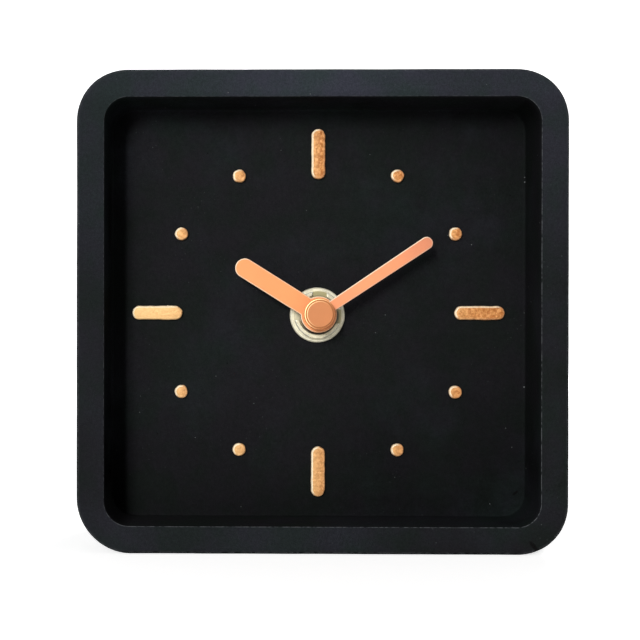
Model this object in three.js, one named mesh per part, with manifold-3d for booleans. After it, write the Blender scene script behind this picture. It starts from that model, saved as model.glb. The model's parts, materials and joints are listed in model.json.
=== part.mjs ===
// Square desk clock: one cast case with a deep recess and a flat dial in it, raised hour markers,
// flat hands under a round cap, and a plain quartz movement in a pocket at the back.
// Sizes are in millimetres. X runs to the right of someone reading the dial, Y to the back, Z up.
// The origin is under the middle of the case, on the surface that the clock stands on.

import * as THREE from 'three';
import { mergeVertices } from 'three/addons/utils/BufferGeometryUtils.js';
import Module from 'manifold-3d';

const wasm = await Module();
wasm.setup();

// Driving dimensions of the case
const caseWidth = 110;
const caseHeight = 108.5;
const caseCornerRadius = 12;
const caseEdgeRounding = 0.7;
const rimWidth = 6.25;
const recessDepth = 15;
const recessCornerRadius = 5.5;
const dialThickness = 6;
const pocketCornerRadius = 8;
const fingerRoom = 6;
const rearMargin = 2;

// Hour markers
const batonInset = 10.58;
const sideBatonInset = 10.82;
const dotInset = 10.75;
const batonLength = 11.9;
const batonWidth = 3.35;
const dotRadius = 1.58;
const markerHeight = 1.2;
const markerRounding = 0.4;

// Hand axis: the movement sits a little low and to the left in its oversize hole
const axisShift = -0.2;
const axisDrop = 0.5;
const dialHoleRoom = 0.7;

// Parts on the threaded bush
const bushRadius = 4;
const bushBoreRadius = 2.65;
const bushFlangeRadius = 6.2;
const bushFlangeThickness = 1;
const bushProud = 1;
const threadClearance = 0.1;
const washerRadius = 6.47;
const washerThickness = 1;
const gasketRadius = 9;
const gasketThickness = 1;
const nutRadius = 5.55;
const nutHeight = 2.2;
const nutChamfer = 0.35;
const nutMouthFlare = 0.55;
const nutSlotCount = 4;
const nutSlotWidth = 3.6;
const nutSlotDepth = 0.7;
const nutTurn = 3;

// Hands, as they stand at nine minutes past ten
const axialPlay = 0.3;
const hourTurn = THREE.MathUtils.degToRad(303.3);
const minuteTurn = THREE.MathUtils.degToRad(56.3);
const hourHandLength = 22.4;
const hourHandWidth = 4.49;
const hourHandThickness = 0.6;
const hourHubRadius = 4.1;
const hourColletRadius = 3.4;
const hourColletHeight = 1.4;
const hourPipeRadius = 2.55;
const hourPipeBoreRadius = 1.85;
const hourPipeProud = 0.4;
const minuteHandLength = 31.1;
const minuteHandRootWidth = 2.5;
const minuteHandTipWidth = 3.05;
const minuteHandThickness = 0.5;
const minuteHubRadius = 3.3;
const minuteColletRadius = 2.9;
const minuteColletHeight = 1;
const minuteShaftRadius = 1.75;
const minuteShaftProud = 1.6;
const handBoreClearance = 0.05;
const capRadius = 3.53;
const capFaceRadius = 2.9;
const capHeight = 2.6;
const capChamfer = 0.5;

// Movement shells
const movementHeight = 56;
const movementWall = 1.5;
const movementCornerRadius = 3;
const frontPlateThickness = 1.2;
const coverThickness = 1.5;
const coverRoom = 1.7;
const bayWallThickness = 1.2;
const fingerNotchWidth = 20;
const fingerNotchDepth = 8;

// Battery and contacts
const batteryDiameter = 14.2;
const batteryLength = 50.5;
const batteryNubRadius = 2.6;
const batteryNubLength = 1.2;
const batteryEdgeRounding = 0.8;
const batterySideRoom = 0.65;
const batteryFrontRoom = 0.6;
const contactRoom = 1.25;
const contactThickness = 0.4;
const contactWidth = 5;
const contactGap = 0.3;
const contactBossRadius = 2;

// Gears: teeth, tooth size (module) and the direction from one centre to the next
const motionModule = 0.3125;
const cannonTeeth = 12;
const minuteWheelTeeth = 36;
const minutePinionTeeth = 10;
const hourWheelTeeth = 40;
const settingTeeth = 12;
const minuteWheelDirection = THREE.MathUtils.degToRad(-60);
const settingDirection = THREE.MathUtils.degToRad(-45);
const trainPinionTeeth = 8;
const rotorTeeth = 6;
const centreWheel = { teeth: 64, module: 0.21, direction: THREE.MathUtils.degToRad(30) };
const thirdWheel = { teeth: 60, module: 0.2, direction: THREE.MathUtils.degToRad(-20) };
const secondsWheel = { teeth: 40, module: 0.24, direction: THREE.MathUtils.degToRad(30) };
const intermediateWheel = { teeth: 36, module: 0.26, direction: THREE.MathUtils.degToRad(100) };
const toothTop = 0.75;
const toothFoot = 1.15;
const toothTipShare = 0.1;
const toothRootShare = 0.21;
const motionWheelThickness = 1;
const trainWheelThickness = 0.6;
const trainGap = 0.8;
const pinionOverhang = 0.2;
const pivotRadius = 0.4;
const pivotClearance = 0.06;
const pivotDepth = 0.8;
const pivotEndGap = 0.1;
const centreArborRadius = 0.9;
const clutchClearance = 0.06;
const centreHubRadius = 1.5;

// Setting stem and knob
const stemRadius = 1.5;
const stemClearance = 0.15;
const knobTeeth = 24;
const knobModule = 0.42;
const knobThickness = 1.5;
const knobGap = 0.3;
const knobSocketDepth = 1;

// Train bridge and its posts
const bridgeThickness = 1;
const bridgeTopGap = 0.3;
const bridgeSideMargin = 0.8;
const postRadius = 1.2;
const postSideOffset = 12;
const postTopOffset = -2.4;
const postInset = 4.8;

// Motor
const statorThickness = 0.8;
const statorStandoff = 4.4;
const magnetRadius = 3;
const magnetThickness = 2.5;
const magnetBoreRadius = 0.8;
const magnetGap = 0.5;
const statorRingWall = 1.2;
const statorLegWidth = 2.6;
const statorYokeWidth = 4;
const coreWidth = 3;
const coreThickness = 0.8;
const coilWallRoom = 1.2;
const coilBottomRise = 12.8;
const windingSize = 6.2;
const windingCornerRadius = 1.6;
const bobbinFlangeThickness = 0.8;
const bobbinWall = 0.55;
const bobbinClearance = 0.1;

// Circuit board
const boardWidth = 10.5;
const boardThickness = 0.8;
const boardStandoff = 3.8;
const boardMargin = 1;
const chipRadius = 3;
const chipCrownRadius = 2.4;
const chipShoulder = 0.8;
const chipHeight = 1.2;
const crystalRadius = 1;
const crystalLength = 6;

// Fineness of round surfaces
const arcSteps = 6;
const fineSides = 40;
const plainSides = 24;
const dotSides = 16;
const dotEdgeSteps = 2;
const smallSides = 12;
const edgeSteps = 3;
const caseEdgeSteps = 4;
const mergeDistance = 1e-4;
const cutMargin = 1;

// Depths along Y, from the rim to the back
const movementWidth = batteryLength + 2 * (contactRoom + movementWall);
const hourWheelOffset = bushFlangeThickness + axialPlay;
const cannonOffset = hourWheelOffset + motionWheelThickness + axialPlay;
const minuteWheelOffset = cannonOffset + axialPlay;
const cannonEndOffset = minuteWheelOffset + motionWheelThickness + axialPlay;
const trainPitch = trainWheelThickness + trainGap;
const centreOffset = cannonEndOffset + trainGap;
const thirdOffset = centreOffset + trainPitch;
const secondsOffset = thirdOffset + trainPitch;
const intermediateOffset = secondsOffset + trainPitch;
const bridgeOffset = intermediateOffset + trainPitch;
const coverOffset = bridgeOffset + bridgeThickness + coverRoom;
const movementDepth = frontPlateThickness + coverOffset + coverThickness;
const caseDepth = recessDepth + dialThickness + gasketThickness + movementDepth + rearMargin;
const rimY = -caseDepth / 2;
const dialY = rimY + recessDepth;
const dialBackY = dialY + dialThickness;
const caseBackY = caseDepth / 2;
const movementY = dialBackY + gasketThickness;
const plateY = movementY + frontPlateThickness;
const bridgeY = plateY + bridgeOffset;
const bridgeBackY = bridgeY + bridgeThickness;
const coverY = plateY + coverOffset;
const coverBackY = coverY + coverThickness;
const washerY = dialY - washerThickness;
const nutY = washerY - nutHeight;
const bushEndY = nutY - bushProud;
const hourHandY = bushEndY - axialPlay - hourColletHeight - hourHandThickness;
const hourPipeEndY = hourHandY - hourPipeProud;
const minuteHandY = hourPipeEndY - axialPlay - minuteColletHeight - minuteHandThickness;
const minuteShaftEndY = minuteHandY - minuteShaftProud;
const capY = minuteHandY - capHeight;

// Places across the movement, measured from the hand axis
const innerHalfWidth = movementWidth / 2 - movementWall;
const innerTop = movementHeight / 2 - movementWall;
const bayBottom = -innerTop;
const bayHeight = batteryDiameter + 2 * batterySideRoom;
const bayTop = bayBottom + bayHeight;
const trainFloor = bayTop + bayWallThickness;
const batteryZ = bayBottom + bayHeight / 2;
const batteryY = plateY + batteryFrontRoom + batteryDiameter / 2;
const handAxis = { x: 0, z: 0 };
const minutePlace = stepFrom(handAxis, gearDistance(motionModule, cannonTeeth, minuteWheelTeeth),
  minuteWheelDirection);
const hourModule = 2 * gearDistance(motionModule, cannonTeeth, minuteWheelTeeth)
  / (minutePinionTeeth + hourWheelTeeth);
const settingPlace = stepFrom(minutePlace, gearDistance(motionModule, minuteWheelTeeth, settingTeeth),
  settingDirection);
const thirdPlace = nextCentre(handAxis, centreWheel, trainPinionTeeth);
const secondsPlace = nextCentre(thirdPlace, thirdWheel, trainPinionTeeth);
const intermediatePlace = nextCentre(secondsPlace, secondsWheel, trainPinionTeeth);
const rotorPlace = nextCentre(intermediatePlace, intermediateWheel, rotorTeeth);
const boardLeft = -innerHalfWidth + boardMargin;
const boardY = plateY + boardStandoff;
const statorY = plateY + statorStandoff;
const coreY = statorY + statorThickness;
const coilAxisY = coreY + coreThickness / 2;
const coilX = innerHalfWidth - coilWallRoom - windingSize / 2;
const coilBottom = trainFloor + coilBottomRise;
const coilTop = rotorPlace.z + magnetRadius + magnetGap + statorLegWidth;
const bobbinBottom = coilBottom + statorLegWidth + axialPlay;
const bobbinTop = coilTop - statorLegWidth - axialPlay;
const bobbinWidth = coreWidth + 2 * (bobbinClearance + bobbinWall);
const bobbinDepth = coreThickness + 2 * (bobbinClearance + bobbinWall);
const bridgePosts = [
  { x: postSideOffset, z: trainFloor + contactThickness + 2 * postRadius },
  { x: -postSideOffset, z: innerTop - postInset },
  { x: postTopOffset, z: innerTop - bridgeTopGap - postRadius },
];

// Turn of each gear at rest, so that teeth meet gaps along every line of centres
const minuteWheelTurn = meshedTurn(0, cannonTeeth, minuteWheelTeeth, minuteWheelDirection);
const hourWheelTurn = meshedTurn(minuteWheelTurn, minutePinionTeeth, hourWheelTeeth,
  minuteWheelDirection + Math.PI);
const settingTurn = meshedTurn(minuteWheelTurn, minuteWheelTeeth, settingTeeth, settingDirection);
const thirdTurn = meshedTurn(0, centreWheel.teeth, trainPinionTeeth, centreWheel.direction);
const secondsTurn = meshedTurn(thirdTurn, thirdWheel.teeth, trainPinionTeeth, thirdWheel.direction);
const intermediateTurn = meshedTurn(secondsTurn, secondsWheel.teeth, trainPinionTeeth,
  secondsWheel.direction);
const rotorTurn = meshedTurn(intermediateTurn, intermediateWheel.teeth, rotorTeeth,
  intermediateWheel.direction);

// Finishes
const castBlack = finish(0x24282b, 0.85, 0);
const copperPaint = finish(0xcf8a58, 0.5, 0.45);
const satinCopper = finish(0xe9a574, 0.38, 0.6);
const paleBrass = finish(0xcfc9a8, 0.35, 0.9);
const steel = finish(0xa9abad, 0.35, 0.95);
const brass = finish(0xb99a52, 0.35, 0.9);
const blackPlastic = finish(0x1b1c1e, 0.55, 0);
const whitePlastic = finish(0xe4e2da, 0.5, 0);
const rubber = finish(0x151515, 0.8, 0);
const darkMagnet = finish(0x3a3a3c, 0.5, 0.5);
const wireCopper = finish(0xa4532a, 0.4, 0.7);
const boardGreen = finish(0x2f5a36, 0.55, 0);
const blackResin = finish(0x101011, 0.35, 0);
const batterySleeve = finish(0x4a4f55, 0.35, 0.2);

function finish(color, roughness, metalness) {
  return new THREE.MeshStandardMaterial({ color, roughness, metalness });
}

function gearDistance(module, teethA, teethB) {
  return module * (teethA + teethB) / 2;
}

// Directions are clockwise from straight up, as seen by someone reading the dial
function stepFrom(place, distance, direction) {
  return { x: place.x + distance * Math.sin(direction), z: place.z + distance * Math.cos(direction) };
}

function nextCentre(place, wheel, pinionTeeth) {
  return stepFrom(place, gearDistance(wheel.module, wheel.teeth, pinionTeeth), wheel.direction);
}

// The follower's turn that puts one of its gaps opposite a tooth of the leader
function meshedTurn(leaderTurn, leaderTeeth, followerTeeth, direction) {
  const leaderPhase = (direction - leaderTurn) * leaderTeeth / (2 * Math.PI);
  const followerPhase = 0.5 - leaderPhase;
  return direction + Math.PI - followerPhase * 2 * Math.PI / followerTeeth;
}

// Closed solid from a geometry: shared corners merged, empty triangles dropped, faces turned out
function solidOf(geometry) {
  geometry.deleteAttribute('normal');
  geometry.deleteAttribute('uv');
  const merged = mergeVertices(geometry, mergeDistance);
  const corners = merged.index.array;
  const kept = [];
  for (let i = 0; i < corners.length; i += 3) {
    const [a, b, c] = corners.subarray(i, i + 3);
    if (a !== b && b !== c && c !== a) {
      kept.push(a, b, c);
    }
  }
  const solid = manifoldFrom(merged.attributes.position.array, kept);
  if (solid.volume() > 0) {
    return solid;
  }
  return manifoldFrom(merged.attributes.position.array, kept.reverse());
}

function manifoldFrom(positions, corners) {
  return new wasm.Manifold(new wasm.Mesh({
    numProp: 3,
    vertProperties: Float32Array.from(positions),
    triVerts: Uint32Array.from(corners),
  }));
}

function geometryOf(solid) {
  const mesh = solid.getMesh();
  const geometry = new THREE.BufferGeometry();
  geometry.setAttribute('position', new THREE.BufferAttribute(mesh.vertProperties, 3));
  geometry.setIndex(new THREE.BufferAttribute(mesh.triVerts, 1));
  geometry.computeVertexNormals();
  return geometry;
}

function cut(body, ...tools) {
  return tools.reduce((left, tool) => left.subtract(tool), body);
}

function join(first, ...others) {
  return others.reduce((whole, other) => whole.add(other), first);
}

// Front-view outline carried from its front face to its back face along Y
function slab(shape, front, back, rounding = 0, roundingSteps = edgeSteps) {
  const geometry = new THREE.ExtrudeGeometry(shape, {
    depth: back - front - 2 * rounding,
    bevelEnabled: rounding > 0,
    bevelThickness: rounding,
    bevelSize: rounding,
    bevelOffset: -rounding,
    bevelSegments: roundingSteps,
    curveSegments: arcSteps,
  });
  geometry.rotateX(Math.PI / 2);
  geometry.translate(0, back - rounding, 0);
  return solidOf(geometry);
}

// Solid of revolution about the Y axis from [radius, y] points
function turned(profile, sides = plainSides) {
  const points = profile.map(([radius, y]) => new THREE.Vector2(radius, y));
  return solidOf(new THREE.LatheGeometry(points, sides));
}

function rod(radius, front, back, sides = plainSides) {
  return turned([[0, front], [radius, front], [radius, back], [0, back]], sides);
}

function tube(inner, outer, front, back, sides = plainSides) {
  return turned([[inner, front], [outer, front], [outer, back], [inner, back], [inner, front]], sides);
}

function rodAt(place, radius, front, back, sides = plainSides) {
  return rod(radius, front, back, sides).translate([place.x, 0, place.z]);
}

function boxBetween(low, high) {
  const size = high.map((value, i) => value - low[i]);
  const geometry = new THREE.BoxGeometry(...size);
  geometry.translate(low[0] + size[0] / 2, low[1] + size[1] / 2, low[2] + size[2] / 2);
  return solidOf(geometry);
}

function roundedRect(width, height, radius) {
  const x = width / 2 - radius;
  const y = height / 2 - radius;
  const shape = new THREE.Shape();
  shape.absarc(x, y, radius, 0, Math.PI / 2);
  shape.absarc(-x, y, radius, Math.PI / 2, Math.PI);
  shape.absarc(-x, -y, radius, Math.PI, 1.5 * Math.PI);
  shape.absarc(x, -y, radius, 1.5 * Math.PI, 2 * Math.PI);
  return shape;
}

// Upright bar with two round ends
function roundEndedBar(width, length) {
  const shape = new THREE.Shape();
  const centre = (length - width) / 2;
  shape.absarc(0, centre, width / 2, 0, Math.PI);
  shape.absarc(0, -centre, width / 2, Math.PI, 2 * Math.PI);
  return shape;
}

// Bar from the axis upwards with a round tip, its width changing evenly from root to tip
function handBar(length, rootWidth, tipWidth) {
  const tipCentre = length - tipWidth / 2;
  const shape = new THREE.Shape();
  shape.moveTo(rootWidth / 2, 0);
  shape.lineTo(tipWidth / 2, tipCentre);
  shape.absarc(0, tipCentre, tipWidth / 2, 0, Math.PI);
  shape.lineTo(-rootWidth / 2, 0);
  return shape;
}

// Trapezoid teeth, four points each, the first tooth straight up
function gearOutline(teeth, module) {
  const pitch = 2 * Math.PI / teeth;
  const tip = teeth * module / 2 + toothTop * module;
  const root = teeth * module / 2 - toothFoot * module;
  const tooth = [[root, -toothRootShare * 2], [tip, -toothTipShare * 2], [tip, toothTipShare * 2],
    [root, toothRootShare * 2]];
  const points = [];
  for (let i = 0; i < teeth; i += 1) {
    for (const [radius, share] of tooth) {
      const angle = (i + share / 2) * pitch;
      points.push(new THREE.Vector2(radius * Math.sin(angle), radius * Math.cos(angle)));
    }
  }
  return new THREE.Shape(points);
}

function addPiece(group, name, solid, material, place = handAxis, turn = 0) {
  const mesh = new THREE.Mesh(geometryOf(solid), material);
  mesh.name = name;
  mesh.position.set(place.x, 0, place.z);
  mesh.rotation.y = turn;
  group.add(mesh);
}

// Case: rounded block, front recess down to the dial, rear pocket, hole for the bush
function castCase() {
  const block = slab(roundedRect(caseWidth, caseHeight, caseCornerRadius), rimY, caseBackY,
    caseEdgeRounding, caseEdgeSteps);
  const openWidth = caseWidth - 2 * rimWidth;
  const openHeight = caseHeight - 2 * rimWidth;
  const recess = slab(roundedRect(openWidth, openHeight, recessCornerRadius), rimY - cutMargin, dialY);
  const pocket = slab(
    roundedRect(movementWidth + 2 * fingerRoom, movementHeight + 2 * fingerRoom, pocketCornerRadius),
    dialBackY, caseBackY + cutMargin);
  const hole = rod(bushRadius + dialHoleRoom, dialY - cutMargin, dialBackY + cutMargin, fineSides);
  return cut(block, recess, pocket, hole);
}

function baton() {
  const shape = roundEndedBar(batonWidth, batonLength);
  const full = slab(shape, dialY - markerHeight, dialY + markerRounding, markerRounding);
  const half = batonLength;
  return cut(full, boxBetween([-half, dialY, -half], [half, dialY + cutMargin, half]));
}

function dot() {
  const front = dialY - markerHeight;
  const edge = [];
  for (let i = 0; i <= dotEdgeSteps; i += 1) {
    const angle = i / dotEdgeSteps * Math.PI / 2;
    edge.push([
      dotRadius - markerRounding * (1 - Math.cos(angle)),
      front + markerRounding * (1 - Math.sin(angle)),
    ]);
  }
  return turned([[0, dialY], [dotRadius, dialY], ...edge, [0, front]], dotSides);
}

// The batons at 3 and 9 keep their distance from the side rims, the rest theirs from the top rim
function markerPlace(hour) {
  const sideReach = caseWidth / 2 - rimWidth - sideBatonInset;
  const topReach = caseHeight / 2 - rimWidth;
  const reaches = [topReach - batonInset, topReach - dotInset, topReach - dotInset, sideReach,
    topReach - dotInset, topReach - dotInset];
  return stepFrom(handAxis, reaches[hour % 6], hour * Math.PI / 6);
}

function slottedNut() {
  const bore = bushRadius + threadClearance;
  const body = turned([
    [bore, washerY], [nutRadius, washerY], [nutRadius, nutY + nutChamfer],
    [nutRadius - nutChamfer, nutY], [bore + nutMouthFlare, nutY], [bore, nutY + nutMouthFlare],
    [bore, washerY],
  ], fineSides);
  const slots = [];
  for (let i = 0; i < nutSlotCount; i += 1) {
    const slot = boxBetween([-nutSlotWidth / 2, nutY - cutMargin, 0],
      [nutSlotWidth / 2, nutY + nutSlotDepth, nutRadius + cutMargin]);
    slots.push(slot.rotate([0, nutTurn + i * 360 / nutSlotCount, 0]));
  }
  return cut(body, ...slots);
}

function threadedBush() {
  return turned([
    [bushBoreRadius, bushEndY], [bushRadius, bushEndY], [bushRadius, plateY],
    [bushFlangeRadius, plateY], [bushFlangeRadius, plateY + bushFlangeThickness],
    [bushBoreRadius, plateY + bushFlangeThickness], [bushBoreRadius, bushEndY],
  ], fineSides);
}

function hourHand() {
  const back = hourHandY + hourHandThickness;
  const bar = slab(handBar(hourHandLength, hourHandWidth, hourHandWidth), hourHandY, back);
  const hub = rod(hourHubRadius, hourHandY, back, fineSides);
  const collet = rod(hourColletRadius, hourHandY, back + hourColletHeight);
  const bore = rod(hourPipeRadius + handBoreClearance, hourHandY - cutMargin,
    back + hourColletHeight + cutMargin, fineSides);
  return cut(join(bar, hub, collet), bore);
}

function minuteHand() {
  const back = minuteHandY + minuteHandThickness;
  const bar = slab(handBar(minuteHandLength, minuteHandRootWidth, minuteHandTipWidth),
    minuteHandY, back);
  const hub = rod(minuteHubRadius, minuteHandY, back, fineSides);
  const collet = rod(minuteColletRadius, minuteHandY, back + minuteColletHeight);
  const bore = rod(minuteShaftRadius + handBoreClearance, minuteHandY - cutMargin,
    back + minuteColletHeight + cutMargin, fineSides);
  return cut(join(bar, hub, collet), bore);
}

function handCap() {
  const socket = minuteShaftRadius + handBoreClearance;
  const socketEnd = minuteShaftEndY - handBoreClearance;
  return turned([
    [0, socketEnd], [socket, socketEnd], [socket, minuteHandY], [capRadius, minuteHandY],
    [capRadius, capY + capChamfer], [capFaceRadius, capY], [0, capY],
  ], fineSides);
}

function pivotRod() {
  return rod(pivotRadius, plateY - pivotDepth + pivotEndGap, bridgeBackY - pivotEndGap, smallSides);
}

// Toothed wheel and pinion on one arbor; the pinion runs through to the wheel's far face
function compoundWheel(wheel, wheelOffset, pinionTeeth, pinionModule, meshOffset, meshThickness) {
  const wheelFront = plateY + wheelOffset;
  const wheelBack = wheelFront + wheel.thickness;
  const meshFront = plateY + meshOffset;
  const pinionFront = Math.min(meshFront - pinionOverhang, wheelFront);
  const pinionBack = Math.max(meshFront + meshThickness + pinionOverhang, wheelBack);
  return join(
    slab(gearOutline(wheel.teeth, wheel.module), wheelFront, wheelBack),
    slab(gearOutline(pinionTeeth, pinionModule), pinionFront, pinionBack),
    pivotRod(),
  );
}

function trainWheel(wheel, offset, leader, leaderOffset) {
  const body = { ...wheel, thickness: trainWheelThickness };
  return compoundWheel(body, offset, trainPinionTeeth, leader.module, leaderOffset, trainWheelThickness);
}

function hourWheel() {
  const front = plateY + hourWheelOffset;
  const back = front + motionWheelThickness;
  const disc = slab(gearOutline(hourWheelTeeth, hourModule), front, back);
  const pipe = rod(hourPipeRadius, hourPipeEndY, back, fineSides);
  const bore = rod(hourPipeBoreRadius, hourPipeEndY - cutMargin, back + cutMargin, fineSides);
  return cut(join(disc, pipe), bore);
}

function minuteArbor() {
  const cannonFront = plateY + cannonOffset;
  const cannonBack = plateY + cannonEndOffset;
  return join(
    rod(minuteShaftRadius, minuteShaftEndY, cannonFront + pinionOverhang, fineSides),
    slab(gearOutline(cannonTeeth, motionModule), cannonFront, cannonBack),
    rod(centreArborRadius, cannonFront, bridgeY - pivotEndGap, smallSides),
    rod(pivotRadius, cannonFront, bridgeBackY - pivotEndGap, smallSides),
  );
}

function centreWheelBody() {
  const front = plateY + centreOffset;
  const back = front + trainWheelThickness;
  const bore = rod(centreArborRadius + clutchClearance, front - cutMargin, back + cutMargin);
  const hub = rod(centreHubRadius, front, back + pinionOverhang);
  return cut(join(slab(gearOutline(centreWheel.teeth, centreWheel.module), front, back), hub), bore);
}

function settingStem() {
  const front = plateY + minuteWheelOffset - pinionOverhang;
  const back = plateY + minuteWheelOffset + motionWheelThickness + pinionOverhang;
  return join(
    slab(gearOutline(settingTeeth, motionModule), front, back),
    rod(pivotRadius, plateY - pivotDepth + pivotEndGap, back, smallSides),
    rod(stemRadius, front, coverBackY + knobGap + knobSocketDepth - pivotEndGap),
  );
}

function settingKnob() {
  const front = coverBackY + knobGap;
  const back = front + knobThickness;
  const socket = rod(stemRadius + handBoreClearance, front - cutMargin, front + knobSocketDepth);
  return cut(slab(gearOutline(knobTeeth, knobModule), front, back), socket);
}

function rotorPinion() {
  const meshFront = plateY + intermediateOffset;
  const magnetMid = statorY + statorThickness / 2;
  return join(
    slab(gearOutline(rotorTeeth, intermediateWheel.module), meshFront - pinionOverhang,
      meshFront + trainWheelThickness + pinionOverhang),
    rod(magnetBoreRadius - handBoreClearance, magnetMid - magnetThickness / 2,
      meshFront - pinionOverhang, smallSides),
    pivotRod(),
  );
}

function rotorMagnet() {
  const magnetMid = statorY + statorThickness / 2;
  return tube(magnetBoreRadius, magnetRadius, magnetMid - magnetThickness / 2,
    magnetMid + magnetThickness / 2);
}

// Stator: a ring round the rotor with a yoke and two legs that reach the coil's core
function stator() {
  const hole = magnetRadius + magnetGap;
  const right = coilX + coreWidth / 2;
  const back = statorY + statorThickness;
  const ring = rodAt(rotorPlace, hole + statorRingWall, statorY, back);
  const yokeLeft = rotorPlace.x;
  const yoke = boxBetween([yokeLeft, statorY, coilBottom],
    [yokeLeft + statorYokeWidth, back, rotorPlace.z - hole + statorRingWall / 2]);
  const lowerLeg = boxBetween([yokeLeft, statorY, coilBottom],
    [right, back, coilBottom + statorLegWidth]);
  const upperLeg = boxBetween([yokeLeft, statorY, coilTop - statorLegWidth], [right, back, coilTop]);
  return cut(join(ring, yoke, lowerLeg, upperLeg),
    rodAt(rotorPlace, hole, statorY - cutMargin, back + cutMargin));
}

function coilCore() {
  return boxBetween([coilX - coreWidth / 2, coreY, coilBottom],
    [coilX + coreWidth / 2, coreY + coreThickness, coilTop]);
}

// Bars along the coil, centred on its axis
function coilBar(width, depth, bottom, top) {
  return boxBetween([coilX - width / 2, coilAxisY - depth / 2, bottom],
    [coilX + width / 2, coilAxisY + depth / 2, top]);
}

function coilBobbin() {
  const spool = join(
    coilBar(bobbinWidth, bobbinDepth, bobbinBottom, bobbinTop),
    coilBar(windingSize, windingSize, bobbinBottom, bobbinBottom + bobbinFlangeThickness),
    coilBar(windingSize, windingSize, bobbinTop - bobbinFlangeThickness, bobbinTop),
  );
  return cut(spool, coilBar(coreWidth + 2 * bobbinClearance, coreThickness + 2 * bobbinClearance,
    bobbinBottom - cutMargin, bobbinTop + cutMargin));
}

function coilWinding() {
  const bottom = bobbinBottom + bobbinFlangeThickness + bobbinClearance / 2;
  const top = bobbinTop - bobbinFlangeThickness - bobbinClearance / 2;
  const outside = windingSize - 2 * bobbinClearance;
  const geometry = new THREE.ExtrudeGeometry(roundedRect(outside, outside, windingCornerRadius),
    { depth: top - bottom, bevelEnabled: false, curveSegments: arcSteps });
  geometry.translate(coilX, coilAxisY, bottom);
  return cut(solidOf(geometry), coilBar(bobbinWidth + bobbinClearance, bobbinDepth + bobbinClearance,
    bottom - cutMargin, top + cutMargin));
}

// Front shell of the movement: plate, walls, battery bay, posts and pivot holes
function movementCase() {
  const outline = roundedRect(movementWidth, movementHeight, movementCornerRadius);
  const shell = slab(outline, movementY, coverY);
  const trainSpace = boxBetween([-innerHalfWidth, plateY, trainFloor],
    [innerHalfWidth, coverY + cutMargin, innerTop]);
  const bay = boxBetween([-innerHalfWidth, plateY, bayBottom],
    [innerHalfWidth, coverY + cutMargin, bayTop]);
  const neck = rod(bushRadius + threadClearance, movementY - cutMargin, plateY + cutMargin, fineSides);
  const pivots = [minutePlace, settingPlace, thirdPlace, secondsPlace, intermediatePlace, rotorPlace]
    .map((place) => rodAt(place, pivotRadius + pivotClearance, plateY - pivotDepth,
      plateY + cutMargin, smallSides));
  const notch = boxBetween(
    [-fingerNotchWidth / 2, coverY - fingerNotchDepth, bayBottom - movementWall - cutMargin],
    [fingerNotchWidth / 2, coverY + cutMargin, bayBottom + cutMargin]);
  const slotFront = boardY + boardThickness - contactGap;
  const slots = [-1, 1].map((side) => boxBetween(
    [side * innerHalfWidth - contactRoom / 2, slotFront, bayTop - cutMargin / 2],
    [side * innerHalfWidth + contactRoom / 2, coverY + cutMargin, trainFloor + cutMargin / 2]));
  const hollow = cut(shell, trainSpace, bay, neck, notch, ...pivots);
  return join(cut(hollow, ...slots.map((slot) => insideOnly(slot))), ...supportPosts());
}

// The part of a solid that lies between the movement's side walls
function insideOnly(solid) {
  return solid.intersect(boxBetween([-innerHalfWidth, movementY, -innerTop],
    [innerHalfWidth, coverY + cutMargin, innerTop]));
}

function supportPosts() {
  const sink = frontPlateThickness / 2;
  const posts = bridgePosts.map((place) => rodAt(place, postRadius, plateY - sink, bridgeY, smallSides));
  const boardX = boardLeft + boardWidth / 2;
  const boardPosts = [trainFloor + postInset, innerTop - postInset]
    .map((z) => rodAt({ x: boardX, z }, postRadius, plateY - sink, boardY, smallSides));
  const statorPosts = [coilBottom + statorLegWidth / 2, coilTop - statorLegWidth / 2]
    .map((z) => rodAt({ x: coilX, z }, postRadius, plateY - sink, statorY, smallSides));
  return [...posts, ...boardPosts, ...statorPosts];
}

// Back cover: over the wheels only, so the battery bay stays open
function movementCover() {
  const outline = roundedRect(movementWidth, movementHeight, movementCornerRadius);
  const plate = slab(outline, coverY, coverBackY);
  const bayOpening = boxBetween([-movementWidth, coverY - cutMargin, -movementHeight],
    [movementWidth, coverBackY + cutMargin, bayTop]);
  const stemHole = rodAt(settingPlace, stemRadius + stemClearance, coverY - cutMargin,
    coverBackY + cutMargin);
  return cut(plate, bayOpening, stemHole);
}

function trainBridge() {
  const top = innerTop - bridgeTopGap;
  const bottom = bridgePosts[0].z - postRadius;
  const half = postSideOffset + postRadius + bridgeSideMargin;
  const plate = boxBetween([-half, bridgeY, bottom], [half, bridgeBackY, top]);
  const holes = [handAxis, minutePlace, thirdPlace, secondsPlace, intermediatePlace, rotorPlace]
    .map((place) => rodAt(place, pivotRadius + pivotClearance, bridgeY - cutMargin,
      bridgeBackY + cutMargin, smallSides));
  const stemHole = rodAt(settingPlace, stemRadius + stemClearance, bridgeY - cutMargin,
    bridgeBackY + cutMargin);
  return cut(plate, ...holes, stemHole);
}

// Battery: turned about Y, then laid along X with its small end to the right
function battery() {
  const half = batteryLength / 2;
  const radius = batteryDiameter / 2;
  const shoulder = half - batteryNubLength;
  return turned([
    [0, -half], [radius - batteryEdgeRounding, -half], [radius, -half + batteryEdgeRounding],
    [radius, shoulder - batteryEdgeRounding], [radius - batteryEdgeRounding, shoulder],
    [batteryNubRadius, shoulder], [batteryNubRadius, half], [0, half],
  ]).rotate([0, 0, -90]).translate([0, batteryY, batteryZ]);
}

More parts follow.
